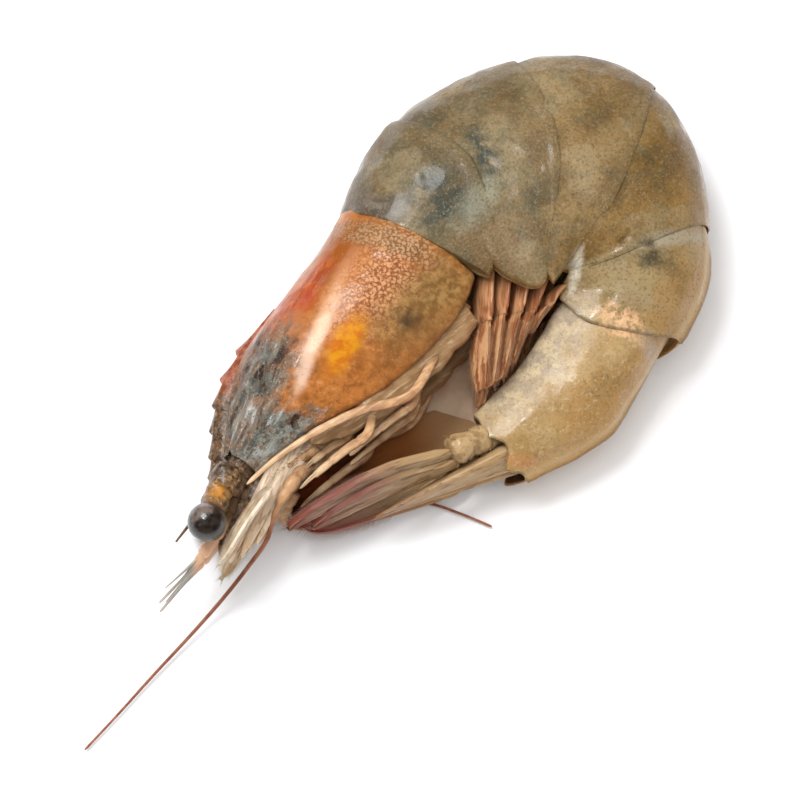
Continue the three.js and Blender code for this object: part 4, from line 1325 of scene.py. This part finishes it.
def leg_radius(t, pincer):
    """Thick at the root, thin at the end, pinched at the joints, and half as wide where a pincer splits."""
    radius = LEG_RADIUS * (1.5 - 0.5 * soft_step(t, 0, 0.14)) * (1 - 0.5 * soft_step(t, 0.5, 1.0))
    radius *= jointed(t, LEG_JOINTS, 0.1, 0.16) * rounded_end(t, 0.03, 0.003)
    if pincer:
        radius *= (1 + 0.2 * bell(t, 0.82, 0.06)) * np.where(t > PINCER_STARTS, PINCER_WIDTH, 1)
    return radius


def leg(number, side_name, start, fold, below, out, rise, knee):
    """One leg from under the shell down to its knee and forward, with its pincer and hairs."""
    side, foot = SIDES[side_name], below - rise

    def at(share, down, wide):
        return keel_point(start + fold * share, down, HEAD_LEVEL[3] + wide * side)

    route = [at(-LEG_ROOT_BACK / fold, LEG_ROOT_DOWN, LEG_ROOT_OUT),
             at(0.45 * knee, 0.6 * below + 0.4 * LEG_ROOT_DOWN, (LEG_ROOT_OUT + out) / 2),
             at(knee, below, out), at(0.5, below - 0.5 * rise, out + 0.1),
             at(0.66, below - 0.82 * rise, out + 0.1), at(0.85, foot, out), at(1, foot, out - 0.1)]
    spots, ahead = path_of(route, LEG_ROWS)
    t = np.linspace(0, 1, LEG_ROWS)
    radius = leg_radius(t, number <= PINCER_LEGS)
    joint = sum(bell(t, j, 0.025) for j in LEG_JOINTS)[:, None]
    points = limb_shape(route, radius, LEG_AROUND, flat=LEG_FLATNESS)
    clay = Clay().grid(points, along=t[:, None], joint=joint, edge=abs(np.cos(full_turn(LEG_AROUND))))
    if number <= PINCER_LEGS:
        beside = [(100, (0, 0, 0)), (106, (0, 0.16, 0.22)), (113, (0, 0.14, 0.2)), (118, (0, 0.04, 0.05))]
        finger = [spots[row] + away for row, away in beside]
        clay.grid(limb_shape(finger, np.linspace(0.12, 0.04, 16), 8), along=1.0)
    if number == len(LEGS):
        band, edge = leg_bases(side)
        clay.grid(band, along=0.06, edge=edge)
    for _ in range(26):
        row = chance.randrange(30, 112)
        lean = ahead[row] + unit([chance.uniform(-1, 1) for _ in range(3)]) * 0.7
        clay.grid(hair_shape(spots[row], lean, 0.4 + radius[row], 0.025), along=1.0)
    settle(clay.build(f"walking_leg_{number}_{side_name}"), limb_wet, "limb", f"leg_{number}_{side_name}")


for side_name in SIDES:
    for number, form in enumerate(LEGS, start=1):
        leg(number, side_name, **form)

# %% [markdown]
# ## Leg-like mouthparts
#
# In front of the legs lie two more limbs that serve the mouth. They are jointed like legs, but taper evenly
# and are covered in hair. A fur texture would look soft only from one side, so the same bristles as on the
# knuckles are scattered over them, longer and finer.

# %% Leg-like mouthparts
MOUTHPART = [(20.6, 1.6, 1), (22, 1.9, 0.9), (25.4, 1.6, 0.9), (28, 1.3, 0.85), (30.4, 1.9, 0.8)]
MOUTHPART_JOINTS = (0.22, 0.6, 0.8)
for side_name, side in SIDES.items():
    route = [keel_point(forward, down, HEAD_LEVEL[5] + out * side) for forward, down, out in MOUTHPART]
    t = np.linspace(0, 1, 100)
    radius = (0.62 - 0.33 * t) * jointed(t, MOUTHPART_JOINTS, 0.15) * rounded_end(t, 0.03, 0.003)
    points = limb_shape(route, radius, 16)
    joint = sum(bell(t, j, 0.02) for j in MOUTHPART_JOINTS)[:, None]
    clay = Clay().grid(points, along=t[:, None], joint=joint, hairy=1.0)
    bristles(clay, points, count=220, rows=(10, 98), forward=1.2, lengths=(0.5, 1.0), width=0.03, hairy=1.0)
    settle(clay.build(f"mouthpart_{side_name}"), limb_wet, "limb", f"maxilliped_{side_name}")

# %% [markdown]
# ## The swimming legs' finish
#
# The swimming legs are clear and orange-brown, and seen edge on they read as parallel strands. Behind them a
# pale pinkish skin closes the gap of the curl: a sheet whose colour is painted shade, the shaded table there,
# warmed by light thrown back from the shell. Glassy paddles would be darker and noisier to render, so they
# are opaque and wet, with streaks that run the same way as the legs do.

# %% Swimming leg finish
def swimmer_finish():
    """Orange-brown strands, and the pale skin behind them, whose colour is painted shade warmed by light
    thrown back from the shell.
    """
    f = Finish("swimming_leg_wet", **flesh(0.4, 1.4, 0.7, 0.4), **WET)
    streak = f.step(f.noise(0.5, 3, seed=1, stretch=(9, 1, 1), turn=82), 0.38, 0.62)
    shade = f.mix(streak, colour(142, 86, 52), colour(206, 152, 110))
    shade = f.mix(f.step(f.mark("along"), 0.5, 0.0) * 0.6, shade, colour(160, 116, 76))
    shade = f.mix(f.mark("hairy") * 0.7, shade, colour(170, 112, 74))
    # the skin's colour is painted shade, warmed by light thrown back from the shell
    shade = f.mix(f.mark("skin"), shade, f.clouds((206, 162, 132), (224, 188, 160), 3, 3))
    height = f.noise(0.5, 3, seed=2, stretch=(4, 1, 1), turn=80)
    coat = f.noise(1, 2, seed=5) * 0.3 + 0.2
    return f.done(shade, f.noise(0.8, 2) * 0.2 + 0.3, height, relief=0.08, coat=coat)


swimmer_wet = swimmer_finish()

# %% [markdown]
# ## Swimming legs
#
# Five pairs of swimming legs hang from the tail's belly into the curl. Each has a broad stem and two narrow
# paddles fringed with hair. Copies of one leg would be quicker, but each has its own length and lean. The
# first right one, the lowest, also carries the clear skin under the tail, which would be too thin alone; the
# skin is a sheet of painted shade.

# %% Swimming legs
SWIMMERETS = [((8.6, 10.3), (8.2, -2.2)), ((10.6, 11.3), (9.0, -1.9)), ((12.8, 11.1), (9.9, -1.2)),
              ((14.6, 10.3), (10.8, 0.2)), ((15.75, 8.2), (12.9, 3.9))]
SWIMMER_OUT = 2.4  # how far each leg hangs from the tail's middle, in mm
SWIMMER_ACROSS = (0.7, 0.1, 1)
STEM_SHARE = 0.42  # how much of a leg is its stem
PADDLES = ((0.5, 1.0), (-0.5, 0.92))  # how far each lies from the middle, and how far it reaches
SHADE_SHEET_ROOT, SHADE_SHEET_TIP = (7.4, 9.6, 2.6), (5.0, -4.8, 0.15)


def stem_width(t):
    return 1.45 + 0.3 * np.sin(math.pi * t) - 0.25 * bell(t, 0.96, 0.05)


def paddle_width(t):
    return 1.35 * np.sqrt(np.maximum(0.02, np.sin(math.pi * np.minimum(1, 0.12 + 0.8 * t))))


def swimming_leg(number, side_name, root, tip):
    """One swimming leg: its stem, its two fringed paddles, and for the lowest one the clear skin, a sheet of
    painted shade.
    """
    side = SIDES[side_name]
    level = TAIL_LEVEL[3] + SWIMMER_OUT * side
    root, tip = np.array([*root, level]), np.array([*tip, level - 0.5])
    knee = root + (tip - root) * STEM_SHARE
    apart = np.cross(unit(tip - root), (0, 0, 1)) * 0.45
    points, t, *_ = leaf_shape(root, knee + (tip - root) * 0.03, SWIMMER_ACROSS, stem_width,
                               lambda t: 0.95 - 0.2 * t, bow=0.25 * side, rows=30, around=32)
    clay = Clay().grid(points, along=t * STEM_SHARE, hairy=0.0)
    for shift, reach in PADDLES:
        end = knee + (tip - knee) * reach
        points, t, *_ = leaf_shape(
            knee + apart * shift * 0.8, end + apart * shift * 0.7, (0.7 + 0.2 * shift, 0.1, 1), paddle_width,
            lambda t: 0.3 - 0.12 * t, bow=0.3 * side, rows=40, around=24,
            relief=lambda t, s: 0.08 * bell(s, 0, 0.15) + 0.03 * np.sin(60 * t))
        clay.grid(points, along=STEM_SHARE + t * (1 - STEM_SHARE))
        fringe(clay, points, row_from=6, spread=1.2, length=1.0, hairy=1.0, along=1.0)
    # the skin: a sheet that paints the shade in the curl
    if number == 1 and side_name == "right":
        skin, *_ = leaf_shape(SHADE_SHEET_ROOT, SHADE_SHEET_TIP, (1, 0, 0.1), lambda t: 3.1 - 0.2 * t,
                              lambda t: 0.3 + 0 * t, bow=0.3, rows=40, around=32)
        clay.grid(raised(skin, 0.06 * ripple(skin, 2.0, 4)), skin=1.0)
    name = f"swimmeret_{number}_{side_name}"
    settle(clay.build(f"swimming_leg_{number}_{side_name}"), swimmer_wet, "swimmer", name)


for side_name in SIDES:
    for number, (root, tip) in enumerate(SWIMMERETS, start=1):
        swimming_leg(number, side_name, root, tip)

# %% [markdown]
# ## The eyes' finish
#
# Each eye is a dark ball on a short stalk. The ball isn't plain black: one side carries a painted highlight,
# lighter, grey-brown, round a dark spot, and the rim next to the stalk is reddish. The stalk is brown with a
# golden patch and a painted shadow. Two materials would leave a hard line between stalk and ball, so one
# finish fades between them by a mark.

# %% Eye finish
def eye_finish():
    """A brown and golden stalk with a painted shadow, that fades into a dark, glossy ball with a painted
    highlight and fine facets.
    """
    f = Finish("eye_wet", Coat_Roughness=0.04, Coat_IOR=1.5, IOR=1.45, **flesh(0.1, 0.6, 0.4, 0.3))
    ball, lump = f.mark("ball"), f.noise(0.7, 4, 0.7, warp=0.8, seed=31)
    stalk = f.mix(f.step(lump, 0.4, 0.5), colour(52, 38, 28), colour(128, 98, 66))
    stalk = f.mix(f.step(lump, 0.56, 0.64), stalk, colour(190, 158, 110))
    # a painted shadow on the stalk, then its golden patch
    stalk = f.patches(stalk, ((-17.7, -11.0, 1.6, 1.2, 60, 0.9, 0.8), 0.6, (40, 32, 28)),
                      ((-17.9, -13.7, 0.85, 0.7, 0, 1.3, 0.4, 0.8), 0.85, (186, 120, 26)))
    dark = f.clouds((22, 17, 14), (52, 41, 34), 0.7, 3, seed=2)
    # a painted highlight, grey-brown, round a dark spot
    dark = f.patches(dark, ((-19.4, -16.2, 1.1, 0.8, 60, 1.2, 0.6), 0.6, (142, 124, 112)),
                     ((-19.2, -16.9, 0.7, 0.5, 40, 0.6, 0.6), 0.9, (20, 15, 13)))
    shade = f.mix(f.step(ball, 0.3, 0.6), stalk, dark)
    rim = f.step(ball, 0.3, 0.5) * f.step(ball, 0.75, 0.55)
    shade = f.mix(rim * 0.6, shade, colour(122, 78, 61))
    facets = f.cells(0.16, seed=1)
    return f.done(shade, f.noise(0.6, 2) * 0.1 + 0.3, facets, relief=0.02, coat=ball * 0.6 + 0.1)


eye_wet = eye_finish()

# %% [markdown]
# ## Eyes on stalks
#
# A prawn's eyes sit on stalks that fold sideways. A sphere joined to a cylinder would show a seam, so stalk
# and ball are one turned shape: a list of radii along the stalk, then half a circle. Small lumps are raised
# on the stalk only. The left eye stands out over the table, and the right one is folded back under the beak.

# %% Eyes
EYE_RADIUS = 1.95
EYE_ROOT = (-17, -10.6)
EYE_OUT = 2.55  # how far each stalk starts from the prawn's middle, in mm
EYES = {"left": (6.6, (-0.3, -0.9, 0.24)), "right": (4.2, (-0.5, -0.77, -0.4))}  # mm to the middle, and lean
STALK = [(0.0, 1.3), (0.14, 1.45), (0.27, 1.45), (0.43, 1.36), (0.57, 1.3), (0.73, 1.3), (0.89, 1.36),
         (1, 1.42)]  # share of its length, and radius
STALK_TO_BALL = 2.2  # mm from the stalk's end to the ball's middle


def eye_on_stalk(side_name):
    """Stalk and ball turned about one axis, from a list of radii and half a circle."""
    root = np.array([*EYE_ROOT, HEAD_LEVEL[-1] + EYE_OUT * SIDES[side_name]])
    middle, lean = EYES[side_name]
    axis = unit(lean)
    share, radius = curve_of(STALK)(np.linspace(0, 1, 40)).T
    swing = np.linspace(0.66, math.pi - 0.02, 48)
    reach = np.concatenate([(middle - STALK_TO_BALL) * share, middle - EYE_RADIUS * np.cos(swing)])
    radius = np.concatenate([radius, EYE_RADIUS * np.sin(swing)])
    u = unit(np.cross(axis, (0, 0, 1)))
    v = np.cross(axis, u)
    angle = full_turn(64)[:, None]
    circle = u * np.cos(angle) + v * np.sin(angle)
    points = root + axis * reach[:, None, None] + circle * radius[:, None, None]
    on_stalk = 1 - soft_step(reach, middle - 2.8, middle - 2.0)
    points = raised(points, 0.22 * ripple(points, 0.9, 2) * on_stalk[:, None])
    clay = Clay().grid(points, ball=soft_step(reach, middle - 2.6, middle - 0.4)[:, None])
    settle(clay.build(f"eye_on_stalk_{side_name}"), eye_wet, "eye", f"eye_{side_name}")


for side_name in SIDES:
    eye_on_stalk(side_name)

# %% [markdown]
# ## The front of the head
#
# Between the eyes the head ends in a brown, lumpy block that carries them, with two thin plates over it. It
# could be sculpted closely, but its parts are small and broken, and read only as a brown, uneven mass. A
# short thick limb with lumps raised on it, and two lumpy leaves, give the same surface.

# %% Head front
BLOCK_ROUTE = [(-14.9, -8.2, 6.4), (-16.2, -10.6, 6.4), (-17.2, -13.4, 6.4)]
BLOCK_RADIUS, BLOCK_FLATNESS = 1.7, 2.1
FRONT_PLATES = [((-15, -8.8, 6.6), (-17.6, -19.0, 6.0), 1.1), ((-12.4, -8.4, 6.8), (-14.6, -15.4, 6.2), 1.5)]
t = np.linspace(0, 1, 70)
radius = BLOCK_RADIUS * (1 - 0.35 * t) * rounded_end(t, 0.1, 0.004)
points = limb_shape(BLOCK_ROUTE, radius, 48, flat=BLOCK_FLATNESS)
clay = Clay().grid(raised(points, 0.2 * ripple(points, 1.3, 3) + 0.1 * ripple(points, 0.6, 5)), front=1.0)
for root, tip, half in FRONT_PLATES:
    points, *_ = leaf_shape(root, tip, (0.97, -0.25, 0), lambda t: half * np.sqrt(np.clip(1.02 - t**4, 0, 1)),
                            lambda t: 0.7 - 0.3 * t, bow=0.3, rows=40, around=32)
    clay.grid(raised(points, 0.12 * ripple(points, 1.0, 3)), front=1.0)
settle(clay.build("head_front_block"), head_shell, "head_shell", "head_front")

# %% [markdown]
# ## The finish of the scales
#
# Beside the feelers lie two broad clear scales, like cream-coloured leaves. Their thick straight edges are
# paler than the clear middle, and brown streaks run along them. The streaks could be drawn one by one, but a
# noise six times longer than wide gives them all, and is turned the same way as the scale.

# %% Scale finish
def scale_finish():
    """Cream, with a paler rib and brown streaks."""
    f = Finish("scale_wet", **flesh(0.4, 1.4, 1.0, 0.6), **WET)
    shade = f.clouds((208, 192, 168), (178, 152, 122), 1.6, 3)
    rib = f.step(abs(f.mark("side")), 0.75, 0.9)
    shade = f.mix(rib * 0.6, shade, colour(226, 210, 190))
    streak = f.step(f.noise(0.4, 3, seed=4, stretch=(6, 1, 1), turn=69), 0.5, 0.64)
    shade = f.mix(streak * 0.5, shade, colour(138, 108, 78))
    stem = f.mix(streak * 0.6, colour(218, 192, 164), colour(150, 112, 82))
    shade = f.mix(f.mark("stem"), shade, stem)
    height = f.noise(0.4, 3, seed=2, stretch=(4, 1, 1), turn=69)
    coat = f.noise(1, 2, seed=5) * 0.4 + 0.4
    return f.done(shade, f.noise(0.8, 2) * 0.2 + 0.25, height, relief=0.08, coat=coat)


scale_wet = scale_finish()

# %% [markdown]
# ## Scales beside the feelers
#
# Each scale is a leaf with a straight, thick outer edge and a fringe on the inner one, and three thin strips
# lie beside it, the stems of smaller feelers. All could be one sculpted bundle, but as separate leaves each
# casts its own shadow, and that makes the bundle read as strands.

# %% Scales beside the feelers
STRIPS = (((-8.2, -5.8), (-14.2, -17.6), 0.5), ((-9.4, -6.2), (-15.7, -18.8), 0.7),
          ((-10.9, -6.2), (-16.9, -19.4), 0.6))  # root, tip and half width of each


def scale_width(t):
    return 1.5 * np.sqrt(np.maximum(0.03, 1 - (2 * t - 0.9) ** 4)) * (1 - 0.35 * t)


def scale_relief(t, side):
    """A thick straight outer edge, a rib beside it, and a faint fan of lines."""
    ribs = 0.2 * bell(side, 0.8, 0.12) + 0.12 * bell(side, 0.3, 0.08) - 0.1 * bell(side, -0.2, 0.3)
    return (ribs + 0.03 * np.sin(side * 40)) * soft_step(t, 0, 0.1)


for side_name, side in SIDES.items():
    level = HEAD_LEVEL[-1]
    points, _, edge, _ = leaf_shape(
        (-13, -12.6, level + 2.8 * side), (-17.8, -20.5, level + 2.2 * side), (0.55, -0.3, 0.9 * side),
        scale_width, lambda t: 0.5 - 0.3 * t, bow=0.4 * side, rows=70, around=56, relief=scale_relief)
    clay = Clay().grid(points, side=edge)
    fringe(clay, points, row_from=34, spread=1.0, length=0.8, side=0.5)
    for root, tip, half in STRIPS:
        points, *_ = leaf_shape(
            (*root, level + 0.6 * side), (*tip, level + 0.3 * side), (0.92, -0.39, 0),
            lambda t: half * (1.02 - t**4) ** 0.5, lambda t: 0.8 - 0.4 * t, bow=0.9 * side, rows=50)
        clay.grid(points, stem=1.0)
    settle(clay.build(f"scale_{side_name}"), scale_wet, "scale", f"antenna_scale_{side_name}")

# %% [markdown]
# ## The feelers' finish
#
# The long feelers are orange-brown to red, and cream at their thick stems. The short ones between the eyes
# fade from tan to grey. A gradient image would say that too, but the mark along each feeler already runs from
# 0 to 1, so steps on it place every change of colour by a number.

# %% Feeler finish
def feeler_finish():
    """Cream stems to red whips, and the short feelers' tan to grey."""
    f = Finish("feeler_wet", **flesh(0.3, 0.8, 0.4, 0.3), **WET)
    along, short = f.mark("along"), f.mark("short")
    stem = f.step(along, 0.24, 0.1)
    shade = f.clouds((150, 98, 70), (124, 72, 50), 1.2, 3)
    shade = f.mix(stem * 0.9, shade, colour(200, 158, 116))
    streak = f.step(f.noise(0.4, 3, seed=4, stretch=(5, 1, 1), turn=52), 0.5, 0.64)
    shade = f.mix(streak * stem * 0.5, shade, colour(126, 88, 58))
    tan = f.mix(f.step(along, 0.6, 0.7), colour(214, 172, 138), colour(146, 144, 136))
    tan = f.mix(f.step(along, 0.86, 1.0), tan, colour(176, 169, 163))
    tan = f.mix(f.step(along, 0.36, 0.24), tan, colour(98, 74, 50))
    shade = f.mix(short, shade, tan)
    coat = f.noise(1, 2, seed=5) * 0.3 + 0.3
    return f.done(shade, f.noise(0.6, 2) * 0.2 + 0.3, f.noise(0.3, 3, seed=2), relief=0.05, coat=coat)


feeler_wet = feeler_finish()

# %% [markdown]
# ## Long feelers
#
# The long feelers start as thick jointed stems under the scales and go on as whips of hundreds of tiny rings.
# Simulating a limp string would lay them down by itself, but not where the photograph shows them. Each has a
# route of a few given points, and a fine wave on its radius makes the rings.

# %% Long feelers
ANTENNA_ROUTES = {
    "left": [(-9.4, -9.6, 6.8), (-10.6, -11.6, 8.2), (-12.3, -14.6, 7.6), (-13.2, -17, 6.2),
             (-14.9, -18.9, 4.2), (-17.6, -21.8, 2.2), (-20.6, -25, 1), (-24.4, -29.2, 0.6),
             (-28, -33.4, 0.5), (-31.2, -37, 0.4)],
    "right": [(-10.6, -11.4, 4.4), (-11.4, -12.6, 3.4), (-11.6, -13.4, 2), (-10.2, -13.9, 0.9),
              (-6.6, -13.3, 0.6), (-3, -11.8, 0.45), (0, -11, 0.4), (3, -11.2, 0.4), (6.2, -12.3, 0.38),
              (9.2, -13.6, 0.35)],
}
STEM_END = 0.2  # the share of a feeler where its stem ends and its whip starts
STEM_JOINTS = (0.05, 0.1, 0.15)
WHIP_RINGS, WHIP_RING_DEPTH = 150, 0.07
for side_name, route in ANTENNA_ROUTES.items():
    t = np.linspace(0, 1, 640)
    taper = 0.25 - 0.12 * np.clip((t - STEM_END) / 0.7, 0, 1)
    stem = 0.5 * (1 - soft_step(t / STEM_END, 0.3, 1.1))
    rings_on_whip = WHIP_RING_DEPTH * np.sin(t * 2 * math.pi * WHIP_RINGS) * soft_step(t, 0.14, 0.2)
    radius = (taper + stem) * (1 + rings_on_whip) * jointed(t, STEM_JOINTS, 0.06, 0.16)
    points = limb_shape(route, radius * rounded_end(t, 0.01, 0.001), 12)
    clay = Clay().grid(points, along=t[:, None], short=0.0)
    settle(clay.build(f"long_feeler_{side_name}"), feeler_wet, "feeler", f"antenna_{side_name}")

# %% [markdown]
# ## Short feelers
#
# Between the eyes two short feelers grow forward, and each splits in two half way. The split could be two
# whole feelers side by side, but their stems would fight for the same place. So a second, thinner whip starts
# inside the first one and leaves it slowly.

# %% Short feelers
BRANCH = [(48, (0, 0, 0)), (60, (-0.12, 0.05, 0.3)), (80, (-0.2, 0.3, 0.6)), (92, (-0.1, 0.5, 0.8))]
for side_name, side in SIDES.items():
    level = HEAD_LEVEL[-1]
    route = [(-16.2, -11.6, level + 0.85 * side), (-17.3, -15, level + 0.8 * side),
             (-19.2, -18.4, level + 0.8 * side), (-20.8, -20.4, level + 0.8 * side - 0.6),
             (-23.8, -23.6, level + 1.4 * side - 1.6)]
    t = np.linspace(0, 1, 260)
    radius = (0.55 * (1 - soft_step(t, 0.42, 0.8)) + 0.15) * jointed(t, (0.2, 0.4, 0.56), 0.1, 0.2)
    points = limb_shape(route, radius * rounded_end(t, 0.02, 0.002), 12)
    clay = Clay().grid(points, along=t[:, None], short=1.0)
    spots, _ = path_of(route, 100)
    branch = [spots[row] + np.array((x, y, z * side)) for row, (x, y, z) in BRANCH]
    t = np.linspace(0, 1, 100)
    clay.grid(limb_shape(branch, 0.2 - 0.13 * t, 10), along=(0.5 + 0.45 * t)[:, None], short=1.0)
    settle(clay.build(f"short_feeler_{side_name}"), feeler_wet, "feeler", f"antennule_{side_name}")

# %% [markdown]
# ## The table
#
# Under the prawn lies a plain pale table, so bright that its shadows are soft. A curved backdrop would hide
# the horizon, but from this high only the table is seen. One square with a very faint unevenness is enough.

# %% The table
TABLE_HALF = 1.5  # metres


def pale_table():
    """A wide pale table with a very faint unevenness, so that it isn't a flat colour."""
    f = Finish("pale_table", IOR=1.3)
    shade = f.mix(f.noise(60, 2), colour(243, 243, 245), colour(249, 249, 250))
    mesh = bpy.data.meshes.new("table")
    corners = [(x * TABLE_HALF, y * TABLE_HALF, 0) for x, y in ((-1, -1), (1, -1), (1, 1), (-1, 1))]
    mesh.from_pydata(corners, [], [(0, 1, 2, 3)])
    table = bpy.data.objects.new("table", mesh)
    bpy.context.scene.collection.objects.link(table)
    table.data.materials.append(f.done(shade, f.noise(25, 2) * 0.1 + 0.6))
    return table


table = pale_table()
print("table width in metres:", 2 * TABLE_HALF)

# %% [markdown]
# ## The light
#
# The light comes from a window at the upper left and from a large, soft ceiling. A room picture could light
# the scene, but its mirror image would lie over every wet shell. So the ceiling and the white world give no
# reflections, and a small lamp beside the window gives nothing but the glints.

# %% Lamps and world
WORLD_STRENGTH = 0.6
LAMPS = {  # where each hangs, its width and its power, in metres and watts
    "window": ((-0.21, 0.19, 0.58), 0.30, 3.2),
    "ceiling": ((0.10, -0.10, 0.80), 0.80, 2.6),
    "glint": ((-0.25, 0.05, 0.60), 0.06, 0.5),
}


def soft_light(name, position, width, power):
    """A square lamp that faces the prawn."""
    light = bpy.data.lights.new(name, "AREA")
    light.shape, light.size, light.energy = "SQUARE", width, power
    lamp = bpy.data.objects.new(name, light)
    lamp.location = position
    lamp.rotation_euler = (-Vector(position)).to_track_quat("-Z", "Y").to_euler()
    bpy.context.scene.collection.objects.link(lamp)
    return lamp


lamps = {name: soft_light(name, *form) for name, form in LAMPS.items()}
lamps["ceiling"].visible_glossy = False
lamps["glint"].visible_diffuse = False
world = bpy.data.worlds.new("studio")
world.use_nodes = True
world.node_tree.nodes["Background"].inputs["Color"].default_value = (1, 1, 1, 1)
world.node_tree.nodes["Background"].inputs["Strength"].default_value = WORLD_STRENGTH
world.cycles_visibility.glossy = False  # a wet dark shell would mirror a white room as a grey veil
bpy.context.scene.world = world
bpy.context.scene.view_settings.view_transform = "Standard"
print("lamps:", list(lamps))

# %% [markdown]
# ## The camera
#
# The photograph looks down steeply from the near side, from far enough that nothing seems to taper. The lens
# could be guessed until the sizes match, but it follows from the picture's width: at the prawn's middle
# height, the picture shows 80 mm across, ten of its dots to a millimetre.

# %% The camera
ELEVATION = math.radians(70)
DISTANCE = 800.0  # mm
MID_HEIGHT = 5.0  # mm, where the scale of the picture is right
VIEW_WIDTH = 80.0  # mm across the picture at that height
SENSOR_WIDTH = 36.0
middle = Vector(in_frame((0, 0, 0)))
lens = bpy.data.cameras.new("camera")
lens.sensor_width = SENSOR_WIDTH
lens.lens = SENSOR_WIDTH * (DISTANCE - MID_HEIGHT * math.sin(ELEVATION)) / VIEW_WIDTH
lens.clip_start, lens.clip_end = 0.01, 10.0
camera = bpy.data.objects.new("camera", lens)
camera.location = middle + Vector((0, -math.cos(ELEVATION), math.sin(ELEVATION))) * DISTANCE * MM
camera.rotation_euler = (middle - camera.location).to_track_quat("-Z", "Y").to_euler()
bpy.context.scene.collection.objects.link(camera)
bpy.context.scene.camera = camera
print("focal length in mm:", round(lens.lens, 1))
